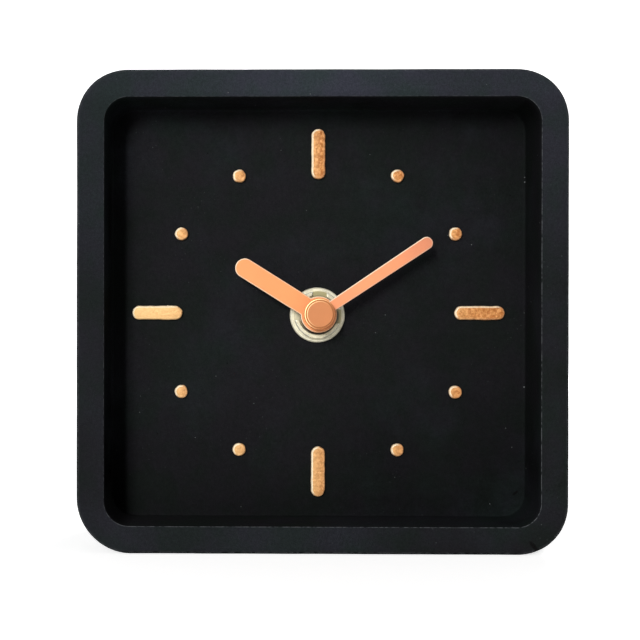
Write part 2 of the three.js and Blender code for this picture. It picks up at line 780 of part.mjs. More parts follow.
// Contact: a strip on the bay's end wall with a boss towards the battery, and a tail to the board
function contact(side, tail) {
  const wall = side * innerHalfWidth;
  const face = wall - side * contactThickness;
  const tip = wall - side * (contactRoom - contactGap);
  const front = boardY + boardThickness;
  const back = front + contactWidth;
  const strip = boxBetween([Math.min(wall, face), front, batteryZ - contactWidth],
    [Math.max(wall, face), back, tail.top]);
  const boss = rod(contactBossRadius, Math.min(wall, tip), Math.max(wall, tip), smallSides)
    .rotate([0, 0, -90])
    .translate([0, (front + back) / 2, batteryZ]);
  const foot = boxBetween([tail.left, front, tail.top - contactThickness], [tail.right, back, tail.top]);
  return join(strip, boss, foot);
}

function positiveContact() {
  return contact(1, {
    left: boardLeft + boardWidth - contactWidth / 2,
    right: innerHalfWidth,
    top: trainFloor + contactThickness,
  });
}

function negativeContact() {
  return contact(-1, {
    left: -innerHalfWidth,
    right: boardLeft + contactWidth / 2,
    top: trainFloor + contactThickness + boardMargin,
  });
}

function circuitBoard() {
  return boxBetween([boardLeft, boardY, trainFloor],
    [boardLeft + boardWidth, boardY + boardThickness, innerTop - boardMargin]);
}

function chip() {
  const back = boardY + boardThickness;
  return turned([[0, back], [chipRadius, back], [chipCrownRadius, back + chipShoulder],
    [0, back + chipHeight]], dotSides);
}

function crystal() {
  const back = boardY + boardThickness;
  return rod(crystalRadius, 0, crystalLength, smallSides)
    .rotate([90, 0, 0])
    .translate([0, back + crystalRadius, 0]);
}

function addCaseAndMarkers(group) {
  addPiece(group, 'case_body', castCase(), castBlack);
  for (let hour = 1; hour <= 12; hour += 1) {
    const isBaton = hour % 3 === 0;
    addPiece(group, `marker_${hour}`, isBaton ? baton() : dot(), copperPaint, markerPlace(hour),
      isBaton ? hour * Math.PI / 6 : 0);
  }
}

function addNeck(group) {
  addPiece(group, 'threaded_bush', threadedBush(), brass);
  addPiece(group, 'gasket', tube(bushRadius + threadClearance, gasketRadius, dialBackY, movementY),
    rubber);
  addPiece(group, 'washer', tube(bushRadius + threadClearance, washerRadius, washerY, dialY, fineSides),
    paleBrass);
  addPiece(group, 'nut', slottedNut(), paleBrass);
}

function addHands(group) {
  addPiece(group, 'hour_hand', hourHand(), satinCopper, handAxis, hourTurn);
  addPiece(group, 'minute_hand', minuteHand(), satinCopper, handAxis, minuteTurn);
  addPiece(group, 'hand_cap', handCap(), satinCopper);
}

function addMotionWork(group) {
  const minuteWheelSize = {
    teeth: minuteWheelTeeth,
    module: motionModule,
    thickness: motionWheelThickness,
  };
  const minuteWheel = compoundWheel(minuteWheelSize, minuteWheelOffset, minutePinionTeeth, hourModule,
    hourWheelOffset, motionWheelThickness);
  addPiece(group, 'hour_wheel', hourWheel(), whitePlastic, handAxis, hourWheelTurn);
  addPiece(group, 'minute_arbor', minuteArbor(), steel);
  addPiece(group, 'minute_wheel', minuteWheel, whitePlastic, minutePlace, minuteWheelTurn);
  addPiece(group, 'setting_stem', settingStem(), whitePlastic, settingPlace, settingTurn);
  addPiece(group, 'setting_knob', settingKnob(), blackPlastic, settingPlace, settingTurn);
}

function addTrain(group) {
  addPiece(group, 'centre_wheel', centreWheelBody(), brass);
  addPiece(group, 'third_wheel', trainWheel(thirdWheel, thirdOffset, centreWheel, centreOffset),
    whitePlastic, thirdPlace, thirdTurn);
  addPiece(group, 'seconds_wheel', trainWheel(secondsWheel, secondsOffset, thirdWheel, thirdOffset),
    whitePlastic, secondsPlace, secondsTurn);
  addPiece(group, 'intermediate_wheel',
    trainWheel(intermediateWheel, intermediateOffset, secondsWheel, secondsOffset),
    whitePlastic, intermediatePlace, intermediateTurn);
  addPiece(group, 'rotor_pinion', rotorPinion(), whitePlastic, rotorPlace, rotorTurn);
  addPiece(group, 'rotor_magnet', rotorMagnet(), darkMagnet, rotorPlace);
}

function addMotor(group) {
  addPiece(group, 'stator', stator(), steel);
  addPiece(group, 'coil_core', coilCore(), steel);
  addPiece(group, 'coil_bobbin', coilBobbin(), whitePlastic);
  addPiece(group, 'coil_winding', coilWinding(), wireCopper);
}

function addShellsAndPower(group) {
  const boardX = boardLeft + boardWidth / 2;
  addPiece(group, 'movement_case', movementCase(), blackPlastic);
  addPiece(group, 'movement_cover', movementCover(), blackPlastic);
  addPiece(group, 'train_bridge', trainBridge(), whitePlastic);
  addPiece(group, 'circuit_board', circuitBoard(), boardGreen);
  addPiece(group, 'chip', chip(), blackResin, { x: boardX, z: trainFloor + boardWidth });
  addPiece(group, 'crystal', crystal(), steel, { x: boardX, z: innerTop - boardWidth });
  addPiece(group, 'positive_contact', positiveContact(), steel);
  addPiece(group, 'negative_contact', negativeContact(), steel);
  addPiece(group, 'battery', battery(), batterySleeve);
}

const clock = new THREE.Group();
const dialPieces = new THREE.Group();
dialPieces.position.z = caseHeight / 2;
addCaseAndMarkers(dialPieces);
clock.add(dialPieces);

const movement = new THREE.Group();
movement.position.set(axisShift, 0, caseHeight / 2 - axisDrop);
addNeck(movement);
addHands(movement);
addMotionWork(movement);
addTrain(movement);
addMotor(movement);
addShellsAndPower(movement);
clock.add(movement);

export default clock;
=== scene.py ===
"""Square cast desk clock: smooth surfaces and procedural finishes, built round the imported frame.

Everything is in metres, with X to the right of someone reading the dial, Y to the back and Z up.
"""

import json
import math

import bmesh
import bpy
import numpy as np
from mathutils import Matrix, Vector


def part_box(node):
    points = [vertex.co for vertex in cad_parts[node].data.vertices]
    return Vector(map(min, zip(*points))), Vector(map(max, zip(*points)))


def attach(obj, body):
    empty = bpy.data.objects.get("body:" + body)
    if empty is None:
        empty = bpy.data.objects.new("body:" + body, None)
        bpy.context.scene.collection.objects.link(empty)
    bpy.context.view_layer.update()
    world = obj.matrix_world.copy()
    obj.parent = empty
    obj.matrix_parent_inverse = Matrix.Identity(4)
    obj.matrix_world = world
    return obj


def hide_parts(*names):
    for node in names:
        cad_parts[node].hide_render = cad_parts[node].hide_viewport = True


bl_info = {
    "name": "Cast desk clock",
    "version": (1, 0, 0),
    "blender": (4, 5, 0),
    "location": "3D View > Sidebar > Clock",
    "description": "Builds a square cast desk clock with raised markers and a battery movement",
    "category": "Object",
}

MM = 0.001
LIGHT_ACROSS, LIGHT_UP = -0.88, 0.47  # the light's direction over the dial
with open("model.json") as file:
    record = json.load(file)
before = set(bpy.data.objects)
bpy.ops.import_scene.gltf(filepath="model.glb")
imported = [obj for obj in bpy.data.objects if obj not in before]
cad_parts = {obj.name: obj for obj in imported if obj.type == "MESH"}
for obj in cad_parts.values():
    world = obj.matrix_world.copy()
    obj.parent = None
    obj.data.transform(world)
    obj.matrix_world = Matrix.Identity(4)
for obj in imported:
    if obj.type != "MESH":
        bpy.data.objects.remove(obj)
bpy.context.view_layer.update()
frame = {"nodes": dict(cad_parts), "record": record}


# Sizes and colours that a user would change

def length(name, description, default):
    """Setting for a length in metres."""
    return bpy.props.FloatProperty(name=name, description=description, default=default, min=0.0,
                                   unit="LENGTH", precision=5)


def share(name, description, default):
    """Setting for a share between 0 and 1."""
    return bpy.props.FloatProperty(name=name, description=description, default=default, min=0.0,
                                   max=1.0, subtype="FACTOR")


def colour(name, description, default):
    """Setting for a colour, as linear red, green and blue."""
    return bpy.props.FloatVectorProperty(name=name, description=description, default=default,
                                         size=3, min=0.0, max=1.0, subtype="COLOR")


def turn_angle(name, description, degrees):
    """Setting for an angle, written in degrees."""
    return bpy.props.FloatProperty(name=name, description=description,
                                   default=math.radians(degrees), subtype="ANGLE", unit="ROTATION")


def power(name, description, watts):
    """Setting for a lamp's power."""
    return bpy.props.FloatProperty(name=name, description=description, default=watts, min=0.0,
                                   unit="POWER")


def whole(name, description, default):
    """Setting for a number of copies."""
    return bpy.props.IntProperty(name=name, description=description, default=default, min=1)


class ClockCaseSettings(bpy.types.PropertyGroup):
    """Cast case and its finish"""
    corner_radius: length("Corner radius", "Radius of the case's four corners", 12 * MM)
    rim_width: length("Rim width", "Width of the rim round the recess", 6.25 * MM)
    recess_depth: length("Recess depth", "From the rim to the dial", 15 * MM)
    recess_corner: length("Recess corner", "Radius of the recess's corners", 5.5 * MM)
    dial_thickness: length("Dial thickness", "Wall that the bush goes through", 6 * MM)
    pocket_size: length("Pocket size", "Width and height of the rear pocket", 68 * MM)
    pocket_corner: length("Pocket corner", "Radius of the rear pocket's corners", 8 * MM)
    bush_hole: length("Bush hole", "Radius of the hole in the dial", 4.7 * MM)
    outer_rounding: length("Outer rounding", "Rounding of the case's outer edges", 0.75 * MM)
    inner_rounding: length("Inner rounding", "Rounding of the rim's inner edge", 0.2 * MM)
    floor_fillet: length("Floor fillet", "Fillet between the dial and the recess walls", 0.5 * MM)
    waviness: length("Waviness", "Depth of the casting's slow waves", 0.05 * MM)
    dark: colour("Dial tone", "Dyed concrete in the recess", (0.0116, 0.0121, 0.0121))
    pale: colour("Rim tone", "Slightly bloomed concrete on the rim", (0.0325, 0.037, 0.0435))
    haze: colour("Haze", "Blue-grey clouds in the concrete", (0.0185, 0.0235, 0.025))


class ClockMarkerSettings(bpy.types.PropertyGroup):
    """Raised hour markers"""
    rounding: length("Edge rounding", "Rounding of the markers' top edges", 0.4 * MM)
    unevenness: length("Unevenness", "How far the painted outline wanders", 0.05 * MM)
    paint: colour("Paint", "Copper paint on the flat top", (0.64, 0.26, 0.08))
    # Painted highlight: the pale colour of edges that face the light
    glint: colour("Edge", "Paler paint along the edges", (1.0, 0.88, 0.64))
    shade: colour("Shade", "Darker brush marks in the paint", (0.43, 0.15, 0.03))
    # Painted sheen: the colour that markers at the left turn to where the light falls
    pale: colour("Pale paint", "Thicker, paler paint on some markers", (0.97, 0.6, 0.25))


class ClockHandSettings(bpy.types.PropertyGroup):
    """Hands and cap"""
    hour_length: length("Hour hand length", "From the axis to the tip", 22.4 * MM)
    hour_width: length("Hour hand width", "Width of the straight blade", 4.49 * MM)
    hour_hub: length("Hour hub", "Radius of the hour hand's hub", 4.2 * MM)
    hour_bore: length("Hour bore", "Radius of the hour hand's bore", 2.6 * MM)
    hour_collet: length("Hour collet", "Radius of the hour hand's collet", 3.4 * MM)
    hour_turn: turn_angle("Hour hand place", "Clockwise from twelve", 302.1)
    minute_length: length("Minute hand length", "From the axis to the tip", 30.85 * MM)
    minute_root: length("Minute hand root", "Width of the blade at the axis", 2.45 * MM)
    minute_tip: length("Minute hand tip", "Width of the blade at the tip", 2.9 * MM)
    minute_hub: length("Minute hub", "Radius of the minute hand's hub", 3.3 * MM)
    minute_bore: length("Minute bore", "Radius of the minute hand's bore", 1.8 * MM)
    minute_collet: length("Minute collet", "Radius of the minute hand's collet", 2.9 * MM)
    minute_turn: turn_angle("Minute hand place", "Clockwise from twelve", 56.3)
    hour_thickness: length("Hour hand thickness", "Sheet of the hour hand", 0.6 * MM)
    minute_thickness: length("Minute hand thickness", "Sheet of the minute hand", 0.5 * MM)
    cap_face: length("Cap face", "Radius of the cap's flat face", 2.93 * MM)
    edge_rounding: length("Edge rounding", "Rounded edge of the hands", 0.2 * MM)
    hour_tone: colour("Hour hand", "Satin copper of the hour hand", (0.85, 0.318, 0.11))
    minute_tone: colour("Minute hand", "Satin copper of the minute hand", (0.87, 0.318, 0.142))
    cap_tone: colour("Cap", "Satin copper of the cap", (0.58, 0.213, 0.073))
    # Partly painted highlight: the pale tone of rounded edges that catch the light
    edge_tone: colour("Edges", "Pale cut edges", (1.0, 0.84, 0.62))
    # Painted highlight: the cap's edges where they face the light
    cap_edge: colour("Cap edges", "Polished edges of the cap", (0.99, 0.66, 0.34))


class ClockMetalSettings(bpy.types.PropertyGroup):
    """Washer, nut, bush and other metal parts"""
    neck_bore: length("Neck bore", "Radius of the bore of the washer and nut", 4.1 * MM)
    nut_radius: length("Nut radius", "Radius of the round nut", 5.55 * MM)
    nut_slots: whole("Nut slots", "Slots across the nut's front", 4)
    slot_width: length("Slot width", "Width of the nut's slots", 3.35 * MM)
    slot_depth: length("Slot depth", "Depth of the nut's slots", 0.7 * MM)
    nut_turn: turn_angle("Nut place", "Clockwise turn of the nut", 4.5)
    bush_radius: length("Bush radius", "Outer radius of the thread", 4.0 * MM)
    bush_bore: length("Bush bore", "Radius of the bush's bore", 2.65 * MM)
    thread_pitch: length("Thread pitch", "Pitch of the bush's thread", 0.6 * MM)
    thread_depth: length("Thread depth", "Depth of the bush's thread", 0.28 * MM)
    plate_tone: colour("Plating", "Pale plating of the washer and nut", (0.76, 0.705, 0.52))
    brass_tone: colour("Brass", "Brass of the bush and centre wheel", (0.62, 0.42, 0.14))
    steel_tone: colour("Steel", "Bright steel parts", (0.5, 0.5, 0.51))
    wire_tone: colour("Wire", "Enamelled copper wire", (0.42, 0.12, 0.035))


class ClockMovementSettings(bpy.types.PropertyGroup):
    """Battery movement"""
    edge_rounding: length("Edge rounding", "Rounding of the moulded edges", 0.3 * MM)
    bead_height: length("Bead height", "Height of the beads on the cover", 0.35 * MM)
    bead_width: length("Bead width", "Width of the ring and of the grip ribs", 0.8 * MM)
    frame_width: length("Frame width", "Width of the bead along the cover's edge", 0.9 * MM)
    frame_inset: length("Frame inset", "From the cover's edge to that bead", 2.2 * MM)
    ring_radius: length("Ring radius", "Radius of the ring round the knob", 7 * MM)
    rib_count: whole("Grip ribs", "Ribs at the foot of the cover", 3)
    rib_reach: length("Rib reach", "Half the length of a grip rib", 11 * MM)
    rib_pitch: length("Rib pitch", "From one grip rib to the next", 2.4 * MM)
    rib_start: length("First rib", "From the cover's lower edge to the first rib", 4.6 * MM)
    knob_teeth: whole("Knob teeth", "Teeth round the setting knob", 24)
    tooth_depth: length("Tooth depth", "Depth of the knob's teeth", 0.28 * MM)
    band_start: length("Band start", "From the battery's end to the band's far edge", 14 * MM)
    band_end: length("Band end", "From the battery's end to the band's near edge", 6 * MM)
    shell_tone: colour("Shell", "Black moulded shells", (0.013, 0.013, 0.014))
    knob_tone: colour("Knob", "Setting knob", (0.02, 0.02, 0.021))
    wheel_tone: colour("Wheels", "White moulded wheels and bridge", (0.72, 0.7, 0.62))
    sleeve_tone: colour("Battery sleeve", "Printed sleeve of the cell", (0.05, 0.075, 0.1))
    board_tone: colour("Circuit board", "Lacquered board", (0.02, 0.11, 0.04))


class ClockStageSettings(bpy.types.PropertyGroup):
    """Floor, light and camera"""
    floor_tone: colour("Floor", "Pale floor and backdrop", (0.9, 0.9, 0.9))
    key_power: power("Key power", "Soft light at the upper left", 9.5)
    side_power: power("Side power", "Wider light further to the left", 3.4)
    back_power: power("Back power", "Soft light behind the clock", 9.0)
    fill: share("Fill", "Even light from all sides", 0.22)
    distance: length("Camera distance", "From the camera to the rim", 250 * MM)
    camera_left: length("Camera left", "From the clock's middle to the camera", 16.8 * MM)
    camera_height: length("Camera height", "From the floor to the camera", 49.55 * MM)


# Numbers and fields

def smooth(t):
    """Smooth step from 0 to 1: three t squared less two t cubed."""
    t = np.clip(t, 0.0, 1.0)
    return t * t * (3.0 - 2.0 * t)


def step(values, start, end):
    """Smooth step that is 0 up to start and 1 from end on; end may lie below start."""
    return smooth((values - start) / (end - start))


def patches(x, z, base, rows):
    """A base value plus soft patches.

    Each row is an amount, a step across and a step up, and a patch is their product. A step is a
    start and an end in metres, or None where the patch runs right across.
    """
    total = np.full(x.shape, base)
    for amount, across, up in rows:
        patch = np.full(x.shape, amount)
        for values, ends in ((x, across), (z, up)):
            if ends:
                patch = patch * step(values, *ends)
        total += patch
    return total


def facing_light(across, up, turn=0.0):
    """How far directions on a piece face the light at the upper left, once the piece is turned.

    The turned direction's product with the light's own direction across and up.
    """
    c, s = math.cos(turn), math.sin(turn)
    return LIGHT_ACROSS * (across * c + up * s) + LIGHT_UP * (up * c - across * s)


def ripple(points, wavelength, seed, waves=14):
    """Even, seeded waves between about -1 and 1.

    The sum of sines of each point's distance along seeded directions, with seeded phases.
    """
    rng = np.random.default_rng(seed)
    directions = rng.normal(size=(waves, 3))
    directions /= np.linalg.norm(directions, axis=1, keepdims=True)
    stretch = rng.uniform(0.75, 1.35, waves)
    phases = rng.uniform(0.0, 2.0 * np.pi, waves)
    turns = points @ directions.T * (2.0 * np.pi / wavelength) * stretch + phases
    return np.sin(turns).sum(axis=-1) / (1.4 * math.sqrt(waves))


def quarter(steps):
    """Sines and cosines of even steps over a quarter turn."""
    angles = np.linspace(0.0, np.pi / 2, steps + 1)
    return np.sin(angles), np.cos(angles)


def grid_normals(grid):
    """Unit normals of a closed grid, from the cross product of its two central differences."""
    along = np.roll(grid, -1, axis=0) - np.roll(grid, 1, axis=0)
    across = np.roll(grid, -1, axis=1) - np.roll(grid, 1, axis=1)
    normals = np.cross(along, across)
    size = np.linalg.norm(normals, axis=-1, keepdims=True)
    return normals / np.maximum(size, 1e-12)


def rounded_ring(half_x, half_z, radius, corner_steps, side_steps):
    """Rounded rectangles in the XZ plane, one per row of the sizes.

    Each corner is an arc at even angles, and each side is straight at even steps between arcs.
    Rows of the same step counts match point for point, so rings of any sizes join up.
    """
    half_x, half_z, radius = np.broadcast_arrays(*map(np.atleast_1d, (half_x, half_z, radius)))
    angles = np.arange(4)[:, None] * np.pi / 2 + np.linspace(0.0, np.pi / 2, corner_steps + 1)
    signs = np.array([[1, 1], [-1, 1], [-1, -1], [1, -1]])
    centres = np.stack([half_x - radius, half_z - radius], axis=-1)[:, None, :] * signs
    arcs = centres[:, :, None, :] + radius[:, None, None, None] * np.stack(
        [np.cos(angles), np.sin(angles)], axis=-1)
    t = (np.arange(1, side_steps) / side_steps)[:, None]
    sides = arcs[:, :, -1:, :] * (1 - t) + np.roll(arcs, -1, axis=1)[:, :, :1, :] * t
    return np.concatenate([arcs, sides], axis=2).reshape(len(half_x), -1, 2)


def outline_normals(outline):
    """Outward unit normals of a closed anticlockwise outline, from its neighbours' chord."""
    chord = np.roll(outline, -1, axis=0) - np.roll(outline, 1, axis=0)
    normals = np.stack([chord[:, 1], -chord[:, 0]], axis=-1)
    return normals / np.maximum(np.linalg.norm(normals, axis=1, keepdims=True), 1e-12)


def circle(radius, count, start=0.0):
    """Anticlockwise circle at even angles."""
    angles = start + np.arange(count) * 2 * np.pi / count
    return radius * np.stack([np.cos(angles), np.sin(angles)], axis=-1)


def lathe(profile, count):
    """Grid of a [radius, y] profile turned about the Y axis at even angles."""
    profile = np.asarray(profile, float)
    angles = np.arange(count) * 2 * np.pi / count
    x = profile[:, :1] * np.cos(angles)
    z = profile[:, :1] * np.sin(angles)
    y = np.broadcast_to(profile[:, 1:], x.shape)
    return np.stack([x, y, z], axis=-1)


HOLD = 1.35  # a face's last ring lies this many roundings in, so that the face stays flat


def plate(outline, bore, front, back, rounding, face_steps=4):
    """Grid of a flat plate with a round bore and rounded outer edges.

    The section runs from the bore over the front face to the outline, round the edge to the
    back face and back to the bore. Faces blend from the bore's circle to the outline, point by
    point at the same angle, and an edge moves the outline in along its normals by a quarter turn.
    """
    normals = outline_normals(outline)
    angle = np.arctan2(outline[:, 1], outline[:, 0])
    bore_ring = bore * np.stack([np.cos(angle), np.sin(angle)], axis=-1)
    sines, cosines = quarter(4)
    edge_in = rounding * (1 - sines)
    edge_depth = rounding * (1 - cosines)
    near = outline - normals * (rounding * HOLD)
    t = np.linspace(0.0, 1.0, face_steps + 1)[:, None, None]
    face = bore_ring * (1 - t) + near * t
    edge = outline - normals * edge_in[:, None, None]
    rings = np.concatenate([face, edge, edge[::-1], face[::-1]])
    depth = np.concatenate([
        np.full(face_steps + 1, front), front + edge_depth,
        (back - edge_depth)[::-1], np.full(face_steps + 1, back),
    ])
    worn = np.concatenate([
        np.zeros(face_steps + 1), np.ones(2 * len(sines)), np.zeros(face_steps + 1),
    ])
    y = np.broadcast_to(depth[:, None, None], rings.shape[:2] + (1,))
    return np.concatenate([rings[..., :1], y, rings[..., 1:]], axis=-1), worn


# Meshes

def mesh_piece(name, grids, body, material, nodes=(), angle=35.0, place=(0, 0, 0), turn=0.0):
    """Object from closed grids of points, each a dict of grid, wrap and field values.

    Rows join the next row, and columns the next column; wrap closes the rows into a loop too.
    A field holds one value, one for each row, or one for each point.
    turn is a clockwise turn about +Y as seen by a reader, and place is added afterwards.
    """
    points, faces, values, start = [], [], {}, 0
    for part in grids:
        grid = np.asarray(part["grid"], float)
        rows, columns = grid.shape[:2]
        index = np.arange(rows * columns).reshape(rows, columns) + start
        below = np.roll(index, -1, axis=0) if part.get("wrap", True) else index[1:]
        above = index if part.get("wrap", True) else index[:-1]
        quads = np.stack([above, np.roll(above, -1, axis=1), np.roll(below, -1, axis=1), below],
                         axis=-1).reshape(-1, 4)
        points.append(grid.reshape(-1, 3))
        faces.append(quads)
        for key in ("edge", "bloom", "shade"):
            field = np.asarray(part.get(key, 0.0), float)
            field = field[:, None] if field.ndim == 1 else field
            values.setdefault(key, []).append(np.broadcast_to(field, (rows, columns)).reshape(-1))
        start += rows * columns
    points = np.concatenate(points)
    c, s = math.cos(turn), math.sin(turn)
    points = np.stack([points[:, 0] * c + points[:, 2] * s, points[:, 1],
                       points[:, 2] * c - points[:, 0] * s], axis=-1) + np.asarray(place, float)
    mesh = bpy.data.meshes.new(name)
    mesh.from_pydata(points.tolist(), [], np.concatenate(faces).tolist())
    for key, parts in values.items():
        layer = mesh.attributes.new(key, "FLOAT", "POINT")
        layer.data.foreach_set("value", np.concatenate(parts).astype(np.float32))
    close_mesh(mesh)
    return finish_piece(name, mesh, body, material, nodes, angle)


def close_mesh(mesh, distance=1e-7):
    """Merges doubled points, drops faces without area and turns the faces out."""
    work = bmesh.new()
    work.from_mesh(mesh)
    bmesh.ops.remove_doubles(work, verts=work.verts, dist=distance)
    bmesh.ops.dissolve_degenerate(work, edges=work.edges, dist=distance)
    bmesh.ops.recalc_face_normals(work, faces=work.faces)
    work.to_mesh(mesh)
    work.free()


def finish_piece(name, mesh, body, material, nodes, angle):
    """Shades, dresses and fastens a piece to its body, in place of the CAD nodes it stands for."""
    mesh.shade_smooth()
    mesh.set_sharp_from_angle(angle=math.radians(angle))
    mesh.materials.append(material)
    piece = bpy.data.objects.new(name, mesh)
    bpy.context.scene.collection.objects.link(piece)
    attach(piece, body)
    if nodes:
        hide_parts(*nodes)
    return piece


def softened_copy(node, name, material, width, segments=3):
    """Copy of a CAD node with its corners merged, flat faces joined and edges bevelled."""
    mesh = frame["nodes"][node].data.copy()
    mesh.materials.clear()
    work = bmesh.new()
    work.from_mesh(mesh)
    bmesh.ops.remove_doubles(work, verts=work.verts, dist=1e-6)
    bmesh.ops.dissolve_limit(work, angle_limit=math.radians(1.0), verts=work.verts,
                             edges=work.edges)
    work.to_mesh(mesh)
    work.free()
    piece = finish_piece(name, mesh, body_of(node), material, [node], 50.0)
    bevel = piece.modifiers.new("Soft edges", "BEVEL")
    bevel.width = width
    bevel.segments = segments
    bevel.limit_method = "ANGLE"
    bevel.angle_limit = math.radians(40.0)
    bevel.harden_normals = True
    return piece


def body_of(node):
    """Name of the CAD body that holds a node."""
    return next(name for name, nodes in frame["record"]["behaviour"]["bodies"].items()
                if node in nodes)


def slot_of(node):
    """Material slot that the record gives a node."""
    return next(part["material_slot"] for part in frame["record"]["subparts"]
                if part["node"] == node)


def centre_of(node):
    """Middle of a CAD node's box, as an array."""
    low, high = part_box(node)
    return (np.array(low) + np.array(high)) / 2


# Shader parts

def socket(group, name, kind, direction, value=None):
    """Adds one named socket to a group's interface, with its default if one is given."""
    item = group.interface.new_socket(name=name, in_out=direction, socket_type=kind)
    if value is not None:
        item.default_value = value


def new_group(name, inputs, outputs):
    """Empty node group with named sockets, its input node and its output node."""
    group = bpy.data.node_groups.new(name, "ShaderNodeTree")
    for label, kind, value in inputs:
        socket(group, label, kind, "INPUT", value)
    for label, kind in outputs:
        socket(group, label, kind, "OUTPUT")
    return group, group.nodes.new("NodeGroupInput"), group.nodes.new("NodeGroupOutput")


def feed(tree, target, value):
    """Links a socket into another, or sets a plain value on it."""
    if isinstance(value, bpy.types.NodeSocket):
        tree.links.new(value, target)
    elif isinstance(value, (tuple, list)) and len(value) == 3 and target.type == "RGBA":
        target.default_value = (*value, 1.0)
    else:
        target.default_value = value


def maths(tree, operation, a, b=0.0, clamp=False):
    """Result of one Math node on two sockets or plain numbers."""
    node = tree.nodes.new("ShaderNodeMath")
    node.operation = operation
    node.use_clamp = clamp
    feed(tree, node.inputs[0], a)
    feed(tree, node.inputs[1], b)
    return node.outputs[0]


def blend_colours(tree, factor, a, b, kind="MIX"):
    """Result of one Mix node on two colours; its colour sockets are known by number alone."""
    node = tree.nodes.new("ShaderNodeMix")
    node.data_type = "RGBA"
    node.blend_type = kind
    feed(tree, node.inputs["Factor"], factor)
    feed(tree, node.inputs[6], a)
    feed(tree, node.inputs[7], b)
    return node.outputs[2]


def spread(tree, value, low, high, out_low=0.0, out_high=1.0):
    """Maps low..high to out_low..out_high, smoothly and clamped."""
    node = tree.nodes.new("ShaderNodeMapRange")
    node.interpolation_type = "SMOOTHSTEP"
    for label, item in (("Value", value), ("From Min", low), ("From Max", high),
                        ("To Min", out_low), ("To Max", out_high)):
        feed(tree, node.inputs[label], item)
    return node.outputs["Result"]


def noise(tree, scale, detail=4.0, roughness=0.55, stretch=None, distortion=0.0):
    """Noise on Object coordinates, stretched along the axes if asked."""
    place = tree.nodes.new("ShaderNodeTexCoord").outputs["Object"]
    if stretch:
        mapping = tree.nodes.new("ShaderNodeMapping")
        mapping.inputs["Scale"].default_value = stretch
        tree.links.new(place, mapping.inputs["Vector"])
        place = mapping.outputs["Vector"]
    node = tree.nodes.new("ShaderNodeTexNoise")
    tree.links.new(place, node.inputs["Vector"])
    for label, item in (("Scale", scale), ("Detail", detail), ("Roughness", roughness),
                        ("Distortion", distortion)):
        feed(tree, node.inputs[label], item)
    return node.outputs["Fac"]


def attribute(tree, name):
    """Value of one of the mesh's own point attributes."""
    node = tree.nodes.new("ShaderNodeAttribute")
    node.attribute_name = name
    return node.outputs["Fac"]


def clouds_group():
    """Slow and fine clouds of a second tone in a first one."""
    group, source, result = new_group(
        "Clouds",
        [("Scale", "NodeSocketFloat", 60.0), ("Low", "NodeSocketFloat", 0.4),
         ("High", "NodeSocketFloat", 0.7), ("First", "NodeSocketColor", (0, 0, 0, 1)),
         ("Second", "NodeSocketColor", (1, 1, 1, 1))],
        [("Colour", "NodeSocketColor"), ("Mask", "NodeSocketFloat")])
    mask = spread(group, noise(group, source.outputs["Scale"], 7.0, 0.62),
                  source.outputs["Low"], source.outputs["High"])
    feed(group, result.inputs["Mask"], mask)
    feed(group, result.inputs["Colour"], blend_colours(
        group, mask, source.outputs["First"], source.outputs["Second"]))
    return group


def grain_group():
    """Fine grain as a height, with a coarser and a finer part."""
    group, source, result = new_group(
        "Grain",
        [("Scale", "NodeSocketFloat", 1500.0), ("Fine share", "NodeSocketFloat", 0.4)],
        [("Height", "NodeSocketFloat")])
    finer = noise(group, maths(group, "MULTIPLY", source.outputs["Scale"], 3.1), 2.0)
    coarse = noise(group, source.outputs["Scale"], 3.0)
    feed(group, result.inputs["Height"], maths(
        group, "ADD", coarse, maths(group, "MULTIPLY", finer, source.outputs["Fine share"])))
    return group


def pores_group():
    """Round spots scattered over a few of the cells of an even scatter."""
    group, source, result = new_group(
        "Scattered spots",
        [("Scale", "NodeSocketFloat", 250.0), ("Radius", "NodeSocketFloat", 0.12),
         ("Share", "NodeSocketFloat", 0.2)],
        [("Mask", "NodeSocketFloat")])
    place = group.nodes.new("ShaderNodeTexCoord").outputs["Object"]
    cells = group.nodes.new("ShaderNodeTexVoronoi")
    group.links.new(place, cells.inputs["Vector"])
    feed(group, cells.inputs["Scale"], source.outputs["Scale"])
    chosen = group.nodes.new("ShaderNodeSeparateColor")
    group.links.new(cells.outputs["Color"], chosen.inputs["Color"])
    kept = maths(group, "LESS_THAN", chosen.outputs["Red"], source.outputs["Share"])
    size = maths(group, "MULTIPLY", source.outputs["Radius"],
                 maths(group, "ADD", 0.4, chosen.outputs["Green"]))
    spot = spread(group, maths(group, "DIVIDE", cells.outputs["Distance"], size),
                  0.6, 1.0, 1.0, 0.0)
    feed(group, result.inputs["Mask"], maths(group, "MULTIPLY", spot, kept))
    return group


def wear_group():
    """Broken edge wear: the piece's own edge attribute, thinned by noise."""
    group, source, result = new_group(
        "Edge wear",
        [("Scale", "NodeSocketFloat", 500.0), ("Cover", "NodeSocketFloat", 0.5)],
        [("Mask", "NodeSocketFloat")])
    broken = spread(group, maths(group, "ADD", noise(group, source.outputs["Scale"]),
                                 source.outputs["Cover"]), 0.75, 1.05)
    feed(group, result.inputs["Mask"], maths(group, "MULTIPLY", attribute(group, "edge"), broken))
    return group


GROUP_MAKERS = {"Clouds": clouds_group, "Grain": grain_group, "Scattered spots": pores_group,
                "Edge wear": wear_group}


def use_group(tree, name, **values):
    """Places a shared group in a material with this material's own values."""
    group = bpy.data.node_groups.get(name) or GROUP_MAKERS[name]()
    node = tree.nodes.new("ShaderNodeGroup")
    node.node_tree = group
    for label, value in values.items():
        feed(tree, node.inputs[label.replace("_", " ")], value)
    return node


def new_material(name, **plain):
    """Material with a Principled shader whose plain values stand on its own sockets."""
    material = bpy.data.materials.new(f"clock_{name}")
    material.use_nodes = True
    tree = material.node_tree
    shader = tree.nodes["Principled BSDF"]
    for label, value in plain.items():
        feed(tree, shader.inputs[label.replace("_", " ")], value)
    return material, tree, shader


